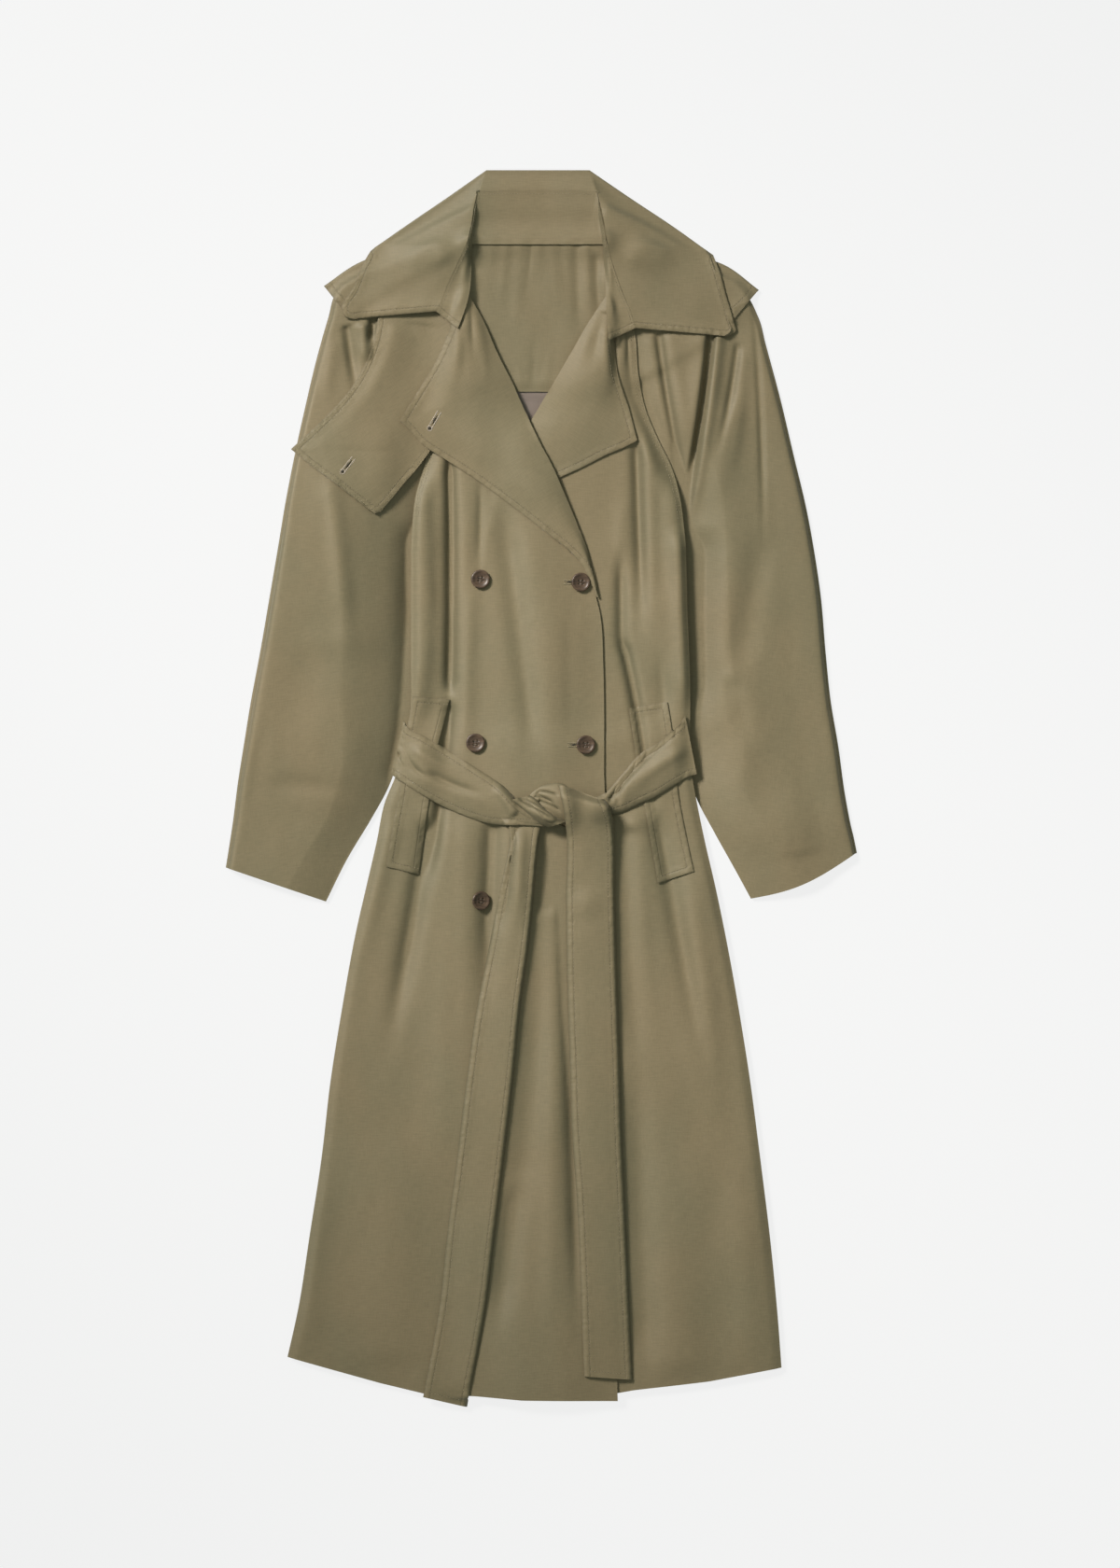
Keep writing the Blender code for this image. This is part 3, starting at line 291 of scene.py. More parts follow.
RIGHT_LAPEL_FOLDS = [
    (-72, 505, -69, 434, 3.5, -3.5, 0, 4, 70), (-64, 493, -55, 407, 5, 2.5, 0, 10, 60),
    (-82, 479, -88, 407, 6, 2, 0, 10, 60), (-105, 388, 10, 273, 14, 1.6, 0, 40, 40),
]
LEFT_LAPEL_FOLDS = [
    (63, 490, 48, 421, 7, -4, 0, 4, 60), (66, 472, 70, 407, 5, 2, 0, 10, 60),
    (48, 472, 37, 426, 4, 1.6, 0, 10, 60),
]
RIGHT_BELT_FOLDS = [
    (-145, 36, -107, 6, 3.5, -3, -3, 5, 50), (-119, 18, -52, -8, 4.5, -3.2, -3, 20, 50),
    (-134, 42, -76, 12, 5, 2, -2, 20, 50), (-49, 2, -27, -29, 5, 3, 3, 30, 10),
]
LEFT_BELT_FOLDS = [
    (147, 65, 68, -16, 3.2, -4.4, -4, 5, 5), (152, 42, 85, -6, 6, 2, -3, 20, 50),
    (81, 2, 77, -23, 4, -2, 0, 10, 50),
]
LOOP_FOLDS = [
    (-6, -7, 16, -17, 2, -3.2, 1, 5, 40), (-3, -13, 22, -25, 1.8, -2.8, 2, 5, 40),
    (-4, -4, 20, -9, 1.8, -2, 2, 10, 30),
]
WRAP_FOLDS = [(-24, -12, 14, -33, 1.5, -1.8, 1, 15, 30), (-17, -11, 24, -35, 1.4, -1.6, 1, 10, 20)]
RIGHT_TAIL_FOLDS = [
    (-31, -27, -44, -159, 6, -6, 0, 5, 40), (-20, -35, -25, -159, 7, 3.5, 0, 20, 50),
    (-46, -59, -54, -150, 5, 3, 0, 20, 50),
]

# ---------------------------------------------------------------- tables and smooth lines


def metres(rows):
    """A table in metres, and its shares on the same scale."""
    return np.array(rows, float) * MM


def parts(sections, *widths):
    """Groups of a table's columns."""
    return np.split(sections, np.cumsum(widths)[:-1], axis=1)


def hermite(at, knots, values):
    """Values on a smooth curve through the knots."""
    slope = np.gradient(values, knots, axis=0)
    left = np.clip(np.searchsorted(knots, at, side="right") - 1, 0, len(knots) - 2)
    span = (knots[left + 1] - knots[left])[:, None]
    share = (at[:, None] - knots[left][:, None]) / span
    rise = values[left + 1] - values[left]
    blend = share * share * (3 - 2 * share)
    lead = share * (1 - share) ** 2 * slope[left] * span
    trail = share * share * (1 - share) * slope[left + 1] * span
    return values[left] + blend * rise + lead - trail


def through(rows, steps, corners=(), pace=None):
    """Sections spaced evenly along a table of sections, smooth but for its corner rows."""
    gaps = np.linalg.norm(np.diff(rows if pace is None else pace, axis=0), axis=1)
    reach = np.r_[0, np.cumsum(gaps)]
    marks = [0, *corners, len(rows) - 1]
    sections = [rows[:1]]
    for first, last in zip(marks[:-1], marks[1:]):
        count = max(1, round(steps * (reach[last] - reach[first]) / reach[-1]))
        at = np.linspace(reach[first], reach[last], count + 1)[1:]
        sections.append(hermite(at, reach[first:last + 1], rows[first:last + 1]))
    return np.concatenate(sections)


def between(start, end, steps):
    """Plan of a sheet, [section, step, x or y], ruled from one edge to the other."""
    share = np.linspace(0, 1, steps + 1)[None, :, None]
    return start[:, None] * (1 - share) + end[:, None] * share


def ruled(rows, steps_along, steps_across, corners=()):
    return between(*parts(through(rows, steps_along, corners), 2, 2), steps_across)


def shares_of(plan):
    """How far along and across each point of a plan is, from 0 to 1."""
    rows, steps = plan.shape[:2]
    return np.linspace(0, 1, rows)[:, None], np.linspace(0, 1, steps)[None, :]


def unit(vectors):
    return vectors / np.linalg.norm(vectors, axis=-1, keepdims=True)


def smoothstep(value):
    value = np.clip(value, 0, 1)
    return value * value * (3 - 2 * value)


def ridges(plan, folds):
    """Height of the folds over a plan."""
    height = np.zeros(plan.shape[:2])
    for *ends, half, high, bend, lead, tail in folds:
        start, end = metres(ends).reshape(2, 2)
        length = np.linalg.norm(end - start)
        way = (end - start) / length
        offset = plan - start
        share = (offset @ way) / length
        side = offset @ np.array([-way[1], way[0]]) - bend * MM * 4 * share * (1 - share)
        rising = smoothstep(share / max(lead / 100, 0.01) + (lead == 0))
        dying = smoothstep((1 - share) / max(tail / 100, 0.01))
        height += high * MM * rising * dying * np.exp(-((side / (half * MM)) ** 2))
    return height


def ripple(plan, height, length, seed):
    """Slight unevenness of cloth that has been worn and steamed: a few long crossing waves."""
    waves, shortest, longest, lean = 14, 0.6, 1.8, 0.6
    draws = np.random.default_rng(seed)
    total = np.zeros(plan.shape[:2])
    for _ in range(waves):
        turn = draws.uniform(0, 2 * math.pi)
        wave = 2 * math.pi / (length * draws.uniform(shortest, longest))
        phase = draws.uniform(0, 2 * math.pi)
        total += np.sin(wave * (plan @ np.array([math.cos(turn), lean * math.sin(turn)])) + phase)
    return height * total / waves ** 0.5


def path_distance(points, path):
    """Distance of each point from a broken line."""
    flat = points.reshape(-1, 2)
    nearest = np.full(len(flat), 1e3)
    for start, end in zip(path[:-1], path[1:]):
        way = end - start
        share = np.clip((flat - start) @ way / max(way @ way, 1e-12), 0, 1)
        nearest = np.minimum(nearest, np.linalg.norm(flat - start - share[:, None] * way, axis=1))
    return nearest.reshape(points.shape[:2])


def edge_distance(points, lines):
    """Distance of each point from the nearest of the lines, and 1 m where there is none."""
    far = np.full(points.shape[:2], 1.0)
    return np.min([far, *(path_distance(points, line) for line in lines)], axis=0)


# ---------------------------------------------------------------- the bed and how cloth settles on it


def corner_shares(a, b):
    """Share of each corner of a cell, split from its first corner to its third, in the point (a, b)."""
    return {(0, 0): 1 - max(a, b), (1, 0): max(a - b, 0), (0, 1): max(b - a, 0), (1, 1): min(a, b)}


def at_corner(grid, corner):
    """The cells' values at one of their corners."""
    across, along = corner
    rows, steps = grid.shape[0] - 1, grid.shape[1] - 1
    return grid[along:along + rows, across:across + steps]


def cell_points(grid, fine):
    """The grid's surface at fine * fine points in each cell, with the shares of its corners."""
    for a, b in product((np.arange(fine) + 0.5) / fine, repeat=2):
        shares = corner_shares(a, b)
        yield shares, sum(share * at_corner(grid, corner) for corner, share in shares.items())


class Bed:
    """How high the cloth lies so far, on a square raster seen from above."""

    def __init__(self):
        self.low = np.array([-BED_WIDTH / 2, -BED_LENGTH / 2])
        self.size = np.array([round(BED_WIDTH / CELL), round(BED_LENGTH / CELL)])
        self.top = np.full(self.size, -SEAM)
        self.grown = self.top  # with each cell as high as its highest neighbour

    def places(self, plan):
        spots = np.rint((plan - self.low) / CELL).astype(int)
        spots = np.clip(spots, 0, self.size - 1)
        return spots[..., 0], spots[..., 1]

    def height(self, plan):
        return self.grown[self.places(plan)]

    def add(self, surface, fine=5):
        """Raises the bed to a surface, [row, step, xyz]."""
        for _, points in cell_points(surface, fine):
            np.maximum.at(self.top, self.places(points[..., :2]), points[..., 2])
        padded = np.pad(self.top, 1, mode="edge")
        across, along = self.top.shape
        shifts = product(range(3), repeat=2)
        self.grown = np.max([padded[i:i + across, j:j + along] for i, j in shifts], axis=0)


def lifted(plan, height, clear, fine=3, rounds=8):
    """The heights, raised where the sheet would come closer to the bed than clear."""
    floor = [bed.height(points) + clear for _, points in cell_points(plan, fine)]
    for _ in range(rounds):
        lift = np.zeros_like(height)
        for (shares, level), needed in zip(cell_points(height, fine), floor):
            step = (needed - level) / sum(share * share for share in shares.values())
            for corner, share in shares.items():
                if share > 0:
                    part = at_corner(lift, corner)
                    np.maximum(part, step * share, out=part)
        height = height + lift
        if lift.max() < 0.01 * MM:
            break
    return height


def smoothed(height):
    padded = np.pad(height, 1, mode="edge")
    ring = padded[:-2, 1:-1] + padded[2:, 1:-1] + padded[1:-1, :-2] + padded[1:-1, 2:]
    return 0.5 * height + 0.125 * ring


def cell_size(plan):
    """Mean side of a plan's cells."""
    return sum(np.linalg.norm(np.diff(plan, axis=axis), axis=-1).mean() for axis in (0, 1)) / 2


def draped(plan, clear, rise=0, softness=16 * MM, droop=DROOP):
    """Heights of a sheet that sags softly over the bed, with its own rise on top."""
    size = cell_size(plan)
    floor = bed.height(plan) + clear
    height = lifted(plan, floor, clear)
    pull = droop * size * size / 4
    for _ in range(round((2 * softness / size) ** 2)):
        height = np.maximum(smoothed(height) - pull, floor)
    for _ in range(2 + round((softness / size / 2) ** 2)):
        height = smoothed(height)
    return lifted(plan, height + rise, clear)


def normals(surface):
    facing = unit(np.cross(np.gradient(surface, axis=1), np.gradient(surface, axis=0)))
    return facing if facing[..., 2].mean() > 0 else -facing


# ---------------------------------------------------------------- shells


def solid(name, form, material=None, smooth=True):
    """The object made of a finished form."""
    mesh = bpy.data.meshes.new(name)
    form.to_mesh(mesh)
    form.free()
    if smooth:
        mesh.shade_smooth()
    if material:
        mesh.materials.append(material)
    made = bpy.data.objects.new(name, mesh)
    bpy.context.scene.collection.objects.link(made)
    return made


def shell(node, surface, thickness, cloth, rests_on, held="laid", inward=False, stitched=(), grain=0):
    """A thin wall on a surface, [row, step, xyz]. It grows up, or inward from an outer surface.

    stitched are the lines of its turned and topstitched edges; grain is its warp's turn from +Y."""
    rows, steps = surface.shape[:2]
    form = bmesh.new()
    bmesh.ops.create_grid(form, x_segments=steps - 1, y_segments=rows - 1, size=0.5)
    bmesh.ops.triangulate(form, faces=form.faces, quad_method="FIXED")
    for vertex, point in zip(form.verts, surface.reshape(-1, 3)):
        vertex.co = point
    form.normal_update()
    top_faces = [face for face in form.faces if face.calc_center_median().z > surface[..., 2].mean()]
    if sum(face.normal.z * face.calc_area() for face in top_faces) < 0:
        bmesh.ops.reverse_faces(form, faces=form.faces)
    made = solid(f"cloth_{node}", form, cloth)
    mesh = made.data
    uses = np.bincount(np.array([loop.edge_index for loop in mesh.loops]), minlength=len(mesh.edges))
    for border in np.flatnonzero(uses == 1):
        mesh.edges[border].use_edge_sharp = True
    edge = edge_distance(surface[..., :2], stitched)
    mesh.attributes.new("edge", "FLOAT", "POINT").data.foreach_set("value", edge.ravel())
    turn = math.radians(grain)
    weft = surface[..., 0] * math.cos(turn) + surface[..., 1] * math.sin(turn)
    warp = surface[..., 1] * math.cos(turn) - surface[..., 0] * math.sin(turn)
    corners = np.empty(len(mesh.loops), int)
    mesh.loops.foreach_get("vertex_index", corners)
    threads = np.dstack([weft, warp]).reshape(-1, 2)[corners]
    mesh.uv_layers.new(name="threads").data.foreach_set("uv", threads.ravel())
    wall = made.modifiers.new("wall", "SOLIDIFY")
    wall.thickness = thickness
    wall.offset = -1 if inward else 1
    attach(made, "root")
    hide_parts(node)
    shells[node], surfaces[node] = made, surface
    declare(surface, held, rests_on)


def declare(surface, held, rests_on):
    """Works out the size the piece was cut to, its surface smoothed out flat, and the names of what it
    rests on; nothing is done with them.
    """
    width = np.linalg.norm(np.diff(surface, axis=1), axis=-1).sum(axis=1).max()
    length = np.linalg.norm(np.diff(surface, axis=0), axis=-1).sum(axis=0).max()
    names = [shells[name].name if name in shells else name for name in rests_on]


def turned_edge(plan, lines):
    """Rise of a faced edge: it rolls down at its rim and sinks at its topstitching."""
    roll, groove, rim_width, groove_width = 0.2 * MM, 0.12 * MM, 1.5 * MM, 1.4 * MM
    distance = edge_distance(plan, lines)
    rolled = roll * (1 - np.exp(-distance / rim_width))
    return rolled - groove * np.exp(-(((distance - INSET) / groove_width) ** 2))


def lay(node, plan, thickness, rests_on, rise, softness, cloth=None, stitched=(), droop=DROOP, **looks):
    """A shell laid on the bed."""
    if stitched:
        rise = rise + turned_edge(plan, stitched)
    surface = np.dstack([plan, draped(plan, SEAM, rise, softness, droop)])
    shell(node, surface, thickness, cloth or gabardine, rests_on, stitched=stitched, **looks)
    bed.add(surface + thickness * normals(surface))


class Folded:
    """A sheet whose rows run over legs joined by folds: the second leg underneath, the others in front.

    points are the ends of the legs, levels is 1 where a leg is in front and 0 where it is underneath."""

    ARC = 5  # steps round a fold

    def __init__(self, points, levels, steps, radius, thickness):
        self.thickness = thickness
        self.clear = SEAM + thickness * SLOPE
        self.legs = []
        plans, shares = [], []
        levels = [np.broadcast_to(level, (len(points[0]),))[:, None] for level in levels]
        turned = np.arange(1, self.ARC + 1)[None, :, None] / (self.ARC + 1)
        last = len(steps) - 1
        for leg, (count, level) in enumerate(zip(steps, levels)):
            way = unit(points[leg + 1] - points[leg])
            start = points[leg] + (radius * way if leg > 0 else 0)
            end = points[leg + 1] - (radius * way if leg < last else 0)
            first = sum(part.shape[1] for part in plans)
            self.legs.append(slice(first, first + count + 1))
            plans.append(between(start, end, count))
            shares.append(np.repeat(level, count + 1, axis=1))
            if leg < last:
                turn = points[leg + 1]
                after = turn + radius * unit(points[leg + 2] - turn)
                control = 2 * turn - (end + after) / 2
                bend = (1 - turned) ** 2 * end[:, None] + 2 * turned * (1 - turned) * control[:, None]
                plans.append(bend + turned ** 2 * after[:, None])
                share = (1 - np.cos(math.pi * turned[..., 0])) / 2
                shares.append(level * (1 - share) + levels[leg + 1] * share)
        self.plan = np.concatenate(plans, axis=1)
        self.level = np.concatenate(shares, axis=1)
        self.under = np.zeros(self.plan.shape[:2])

    def lay_under(self):
        """Settles the leg underneath and raises the bed over it."""
        leg = self.legs[1]
        height = draped(self.plan[:, leg], SEAM)
        self.under[:, leg] = height
        covered = (self.level[:, leg] < 0.5).all(axis=1)
        bed.add(np.dstack([self.plan[:, leg], height + self.thickness])[covered])

    def lay_over(self, rise=0, softness=8 * MM):
        """Settles the legs in front on the bed."""
        self.over = np.zeros_like(self.under)
        rise = np.broadcast_to(rise, self.over.shape)
        for leg in self.legs:
            if self.level[:, leg].max() > 0:
                self.over[:, leg] = draped(self.plan[:, leg], self.clear, rise[:, leg], softness)

    def finish(self, node, rests_on, **looks):
        """Folds the legs in front round to what lies underneath, and makes the shell."""
        over, under = self.over, self.under
        for leg in self.legs:
            over[:, leg] = lifted(self.plan[:, leg], over[:, leg], self.clear)
        before, low, *after = self.legs
        folds = [(before, slice(before.stop, low.start), before.stop - 1, low.start)]
        folds += [(leg, slice(low.stop, leg.start), leg.start, low.stop - 1) for leg in after]
        for leg, arc, near, far in folds:
            over[:, arc] = over[:, near][:, None]
            under[:, arc] = under[:, leg] = under[:, far][:, None]
        surface = np.dstack([self.plan, under + self.level * (over - under)])
        shell(node, surface, self.thickness, gabardine, rests_on, inward=True, **looks)
        bed.add(surface)


# ---------------------------------------------------------------- pieces of cloth


def hem_plan(plan, hem):
    """Bends the lowest sections of a panel into the hem's curve."""
    xs, levels = metres(hem).T
    start = HEM_STARTS * MM
    share = np.clip((start - plan[..., 1]) / (start - plan[..., 1].min()), 0, 1)
    bent = start + share * (np.interp(plan[..., 0], xs, levels) - start)
    return np.dstack([plan[..., 0], np.where(plan[..., 1] < start, bent, plan[..., 1])])


def body_rows(start_name, end_name, inset=0.0):
    """Edges of a body panel, as rows of x, y, x, y from the neck down."""
    body = dict(zip(BODY_COLUMNS.split(), metres(BODY).T))
    return np.column_stack([body[start_name] + inset, body["level"], body[end_name] - inset, body["level"]])


def back_panel():
    top = metres(BACK_TOP)[:, [1, 0, 2, 0]]
    body = body_rows("right_side", "left_side", inset=BACK_INSET)
    rows = np.concatenate([top, body[body[:, 1] < top[-1, 1]]])
    plan = hem_plan(ruled(rows, steps_along=150, steps_across=54), BACK_HEM)
    lay("back_panel", plan, CLOTH, ["floor"], rise=0, softness=20 * MM)


def back_neck():
    """The gathered yoke and the strip of lining below it, seen through the neck."""
    plan = ruled(metres(NECK_LINING), steps_along=20, steps_across=30)
    rise = ripple(plan, 0.4 * MM, 25 * MM, seed=5)
    lay("back_lining", plan, LINING, ["back_panel"], rise, softness=8 * MM, cloth=satin)
    plan = ruled(metres(YOKE), steps_along=76, steps_across=74)
    along, _ = shares_of(plan)
    rise = 2.6 * MM + ridges(plan, YOKE_GATHERS) + ripple(plan, 0.25 * MM, 40 * MM, seed=6)
    rise = rise * smoothstep((1 - along) / 0.08)
    lay("back_neck_yoke", plan, CLOTH, ["back_panel", "back_lining"], rise, softness=8 * MM)


def front(node, edges, hem, folds, steps_across, free_edge, seed, rests_on):
    """A front lies loose but for its free edge, its side, and where it is sewn down along the sleeve."""
    loose, edge_share, edge_width = 6 * MM, 0.12, 60 * MM
    side_loss, side_width, sewn_width, sewn_start = 0.5, 5 * MM, 22 * MM, 40 * MM
    plan = hem_plan(ruled(body_rows(*edges), steps_along=286, steps_across=steps_across), hem)
    rise = loose + ridges(plan, folds) + ripple(plan, 0.5 * MM, 90 * MM, seed)
    inside = smoothstep(path_distance(plan, plan[:, free_edge]) / edge_width)
    side = path_distance(plan, plan[:, -1 - free_edge])
    sewn_down = smoothstep((plan[..., 1] - ARMPIT * MM) / sewn_start)
    rise = rise * (edge_share + (1 - edge_share) * inside)
    rise = rise * (1 - sewn_down * (1 - smoothstep(side / sewn_width)))
    rise = rise * (1 - side_loss * np.exp(-((side / side_width) ** 2)))
    lay(node, plan, CLOTH, rests_on, rise=np.maximum(rise, 0), softness=20 * MM)


def lapel(side, rows, tip, folds, steps_along, steps_across, seed, grain):
    """A lapel is fullest beside its roll line and lies flat at its edge."""
    edge, roll, rise = parts(through(metres(rows), steps_along, (tip,)), 2, 2, 1)
    plan = between(edge, roll, steps_across)
    _, across = shares_of(plan)
    rise = rise * np.sin(math.pi * across ** 1.6) + ridges(plan, folds) * np.sin(math.pi * across ** 0.7)
    rise = rise + ripple(plan, 0.2 * MM, 50 * MM, seed)
    looks = {"held": "folded", "stitched": [plan[:, 0]], "grain": grain}
    lay(f"lapel_{side}", plan, FACED, [f"front_{side}"], rise, softness=26 * MM, **looks)


def gun_flap():
    plan = ruled(metres(GUN_FLAP), steps_along=120, steps_across=60, corners=(GUN_FLAP_TIP,))
    edges = [plan[:, 0], plan[-FLAP_FREE_ROWS:, -1], plan[-1]]
    rise = 1.5 * MM + ridges(plan, GUN_FLAP_FOLDS) + ripple(plan, 0.25 * MM, 60 * MM, seed=11)
    rise = rise * smoothstep(path_distance(plan, plan[:, 0]) / (20 * MM))
    lower = ["front_right", "sleeve_right"]
    lay("gun_flap", plan, FACED, lower, rise, softness=24 * MM, stitched=edges, grain=30)


def sleeve(rows, sag, bow):
    """A flattened tube: its hollow is highest at the crown, sags from there to its fold by a share of
    its height, and is low where the body lies on it. Its cuff is bowed outwards."""
    sections = through(metres(rows), steps=250)
    *points, puff, pressed, crown = parts(sections, 2, 2, 2, 1, 1, 1)
    pressed, crown = pressed / MM, crown / MM
    roundness, squareness, sag_end, cuff_start, cuff_share = 1.3, 32, 0.7, 0.85, 0.15
    tube = Folded(points, levels=(1, 0), steps=(80, 14), radius=SLEEVE_FOLD, thickness=CLOTH)
    along, across = shares_of(tube.plan[:, tube.legs[0]])
    rising = np.clip((across - pressed) / (crown - pressed), 0, 1)
    falling = np.clip((across - crown) / (1 - crown), 0, 1)
    tube.crown = puff * (1 - (1 - rising) ** roundness) * (1 - falling ** squareness) ** 0.5
    tube.crown *= 1 - sag * smoothstep(falling / sag_end)
    near_cuff = smoothstep((along - cuff_start) / cuff_share)
    for leg in tube.legs:
        _, across = shares_of(tube.plan[:, leg])
        tube.plan[:, leg, 1] -= bow * near_cuff * np.sin(math.pi * across)
    tube.lay_under()
    return tube


def finish_sleeve(node, tube, folds, seed, grain):
    leg = tube.legs[0]
    plan = tube.plan[:, leg]
    fade = np.sin(math.pi * np.linspace(0.08, 1, plan.shape[1])) ** 0.5
    own = ridges(plan, folds) + ripple(plan, 0.7 * MM, 80 * MM, seed)
    rise = np.zeros(tube.plan.shape[:2])
    rise[:, leg] = np.maximum(tube.crown + own * fade[None, :], 0)
    tube.lay_over(rise, softness=4 * MM)
    tube.finish(node, ["floor"], grain=grain)


def storm_flap():
    """The back of the rear storm flap, whose lower edge sags; its two tips come round later."""
    *points, sag = parts(through(metres(STORM), steps=46), 2, 2, 2, 2, 1)
    cape = Folded(points, levels=(1, 0, 1), steps=(16, 60, 16), radius=CAPE_FOLD, thickness=CLOTH)
    back = cape.legs[1]
    _, across = shares_of(cape.plan[:, back])
    cape.plan[:, back, 1] += sag * np.sin(math.pi * across) ** 0.8
    cape.lay_under()
    return cape


def collar_band():
    """The part of the collar behind the neck; its two leaves come round later."""
    sections = through(metres(COLLAR), COLLAR_STEPS, COLLAR_CORNERS)
    *points, roll, front_share = parts(sections, 2, 2, 2, 1, 1)
    in_front = np.clip(3 * front_share[:, 0] / MM - 1, 0, 1)
    band = Folded(points, levels=(1, in_front), steps=(44, 14), radius=COLLAR_FOLD, thickness=FACED)
    band.roll = roll
    band.leaves = np.argmax(in_front < 0.99), np.argmax(in_front[::-1] < 0.99)
    band.lay_under()
    return band


def rim(plan, side, first=None, last=None):
    """An edge of a plan, with a line further in: its side one or other, or its start or end."""
    lines = {"one": (plan[:, 0], plan[:, 3]), "other": (plan[:, -1], plan[:, -4])}
    lines |= {"start": (plan[0], plan[3]), "end": (plan[-1], plan[-4])}
    line, inner = lines[side]
    return line[first:last], inner[first:last]


def collar_edges(band):
    """The turned edges of the collar's two leaves, with lines further in."""
    first, last = band.leaves
    outer = [rim(band.plan, "other", last=first), rim(band.plan, "other", first=-last)]
    return [rim(band.plan, "start"), *outer, rim(band.plan, "end")]


def collar_rise(band, lines):
    """The roll of the collar: highest at its seam and flat towards its edge, which is roped at the left."""
    rope_height, rope_length, rope_width, rope_lean = 0.35 * MM, 7.5 * MM, 7 * MM, 0.8
    rise = np.zeros(band.plan.shape[:2])
    leaf = band.legs[0]
    _, across = shares_of(band.plan[:, leaf])
    rise[:, leaf] = band.roll * (1 - smoothstep(across))
    distance = path_distance(band.plan, band.plan[-1])
    turns = 2 * math.pi * (band.plan[..., 0] + rope_lean * band.plan[..., 1]) / rope_length
    roping = rope_height * np.sin(turns) * smoothstep((rope_width - distance) / (3 * MM))
    return rise + turned_edge(band.plan, lines) + roping


def collar_stand(ground):
    """The stand meets the band at their seam, so it settles on the ground that the band lies on."""
    collar = metres(COLLAR)
    together = np.column_stack([collar[:, 0:2], metres(STAND), collar[:, 6]])
    seam, neck, roll = parts(through(together, COLLAR_STEPS, COLLAR_CORNERS, pace=collar), 2, 2, 1)
    plan = between(neck, seam + SEAM_GAP * unit(neck - seam), steps=26)
    _, across = shares_of(plan)
    with_band, bed.grown = bed.grown, ground
    stitched = [plan[0], plan[-1]]
    rise = roll * smoothstep(0.9 * across) + turned_edge(plan, stitched)
    height = draped(plan, SEAM, rise, 10 * MM)
    seam_height = surfaces["collar_fall"][:, :1, 2] - FACED
    meet = seam_height - height[:, -1:]
    height = lifted(plan, height + meet * smoothstep(1.4 * across - 0.4), SEAM)
    height[:, -1:] = seam_height
    surface = np.dstack([plan, height])
    lower = ["back_neck_yoke", "lapel_left", "lapel_right"]
    shell("collar_stand", surface, FACED, gabardine, lower, stitched=stitched)
    bed.add(surface + FACED * normals(surface))
    bed.grown = np.maximum(with_band, bed.grown)


def strip(
    node, rows, rests_on, steps, bulge=None, folds=(), softness=0, stitched=(0, -1), ends=(),
    thickness=FACED,
):
    """A length of belt or welt; bulge gives its rise from the shares along and across it. stitched and
    ends are its topstitched columns and rows."""
    plan = ruled(metres(rows), *steps)
    rise = ridges(plan, folds) + (bulge(*shares_of(plan)) if bulge else 0)
    lines = [plan[:, column] for column in stitched] + [plan[row] for row in ends]
    lay(node, plan, thickness, rests_on, rise, softness, stitched=lines, droop=BELT_DROOP)


def arched(across, power=1.0):
    """A rise that is highest along the middle."""
    return np.sin(math.pi * across) ** power


def flat_topped(across):
    """A rise that is the same but for the two edges, where it rolls down."""
    return (1 - np.abs(2 * across - 1) ** 20) ** 0.6


def belt_bulge(along, across):
    """A front stretch bulges along its middle and lies flat at the side of the coat."""
    return 5 * MM * arched(across, 0.8) * smoothstep(along / 0.2)


def loop_bulge(along, across):
    return 6.5 * MM * arched(across, 0.6) * smoothstep(0.2 + along)


def wrap_bulge(along, across):
    return 5 * MM * arched(across, 0.6) * (0.6 + 0.4 * arched(along))


def tail_bulge(along, across, low_side):
    """A tail lies fuller towards its left edge, and flatter towards its end."""
    return 4.6 * MM * flat_topped(across) * (low_side + (1 - low_side) * across) * (1 - 0.45 * along)


def right_tail_bulge(along, across):
    return tail_bulge(along, across, 0.55) * smoothstep(along / 0.05)


def left_tail_bulge(along, across):
    """The tail comes over the knot before it hangs down."""
    over_knot = 8 * MM * np.exp(-((along / 0.09) ** 2)) * smoothstep(along / 0.02)
    return over_knot * (0.75 + 0.25 * arched(across)) + tail_bulge(along, across, 0.5)


# ---------------------------------------------------------------- materials

# Body and lining cloth each have two tones; the greener second one comes in at random, and on steep cloth
# as a painted shade tint.
BODY_TONES = ((0.252, 0.197, 0.112, 1), (0.209, 0.182, 0.106, 1))
LINING_TONES = ((0.28, 0.225, 0.19, 1), (0.22, 0.17, 0.147, 1))
HORN_TONES = ((0.05, 0.030, 0.019, 1), (0.115, 0.07, 0.042, 1))
SHEEN_TONE = (0.93, 0.88, 0.74, 1)

# Noise drawn out along the threads: cycles per metre across and along the cloth, and its detail.
WEFT, WARP, GRAIN = (90.0, 760.0, 2.0), (900.0, 110.0, 2.0), (1500.0, 1500.0, 1.0)
WORN, PUCKER, CRUMPLE = (9.0, 6.0, 4.0), (150.0, 150.0, 1.0), (26.0, 18.0, 3.0)

# Height of the cloth beside a turned edge, from its rim over the row of stitches, as places in a ramp
# of EDGE_RAMP metres and shares of SEAM_DEPTH. The same ramp darkens the rim and the groove with
# painted shade.
EDGE_RAMP = 0.012
EDGE_PROFILE = ((0.0, 0.3), (0.06, 0.7), (0.16, 1.0), (0.4, 1.0), (0.48, 0.3), (0.56, 1.0))
SEAM_DEPTH, PUCKER_DEPTH, FIBRE_DEPTH, CRUMPLE_DEPTH = 0.28 * MM, 0.8 * MM, 0.16 * MM, 1.2 * MM

# From low..high to start..end: shares of the second tone (at random, and as a painted shade tint on
# steep cloth), and how light the cloth is under painted shade at its turned edges and where it is steep.
WORN_TONE, PAINTED_SHADE_TINT = (0.35, 0.65, 0.0, 0.5), (1.0, 0.75, 0.0, 0.5)
PAINTED_EDGE_SHADE, PAINTED_SLOPE_SHADE = (0.0, 1.0, 0.72, 1.0), (0.97, 0.70, 1.0, 0.74)


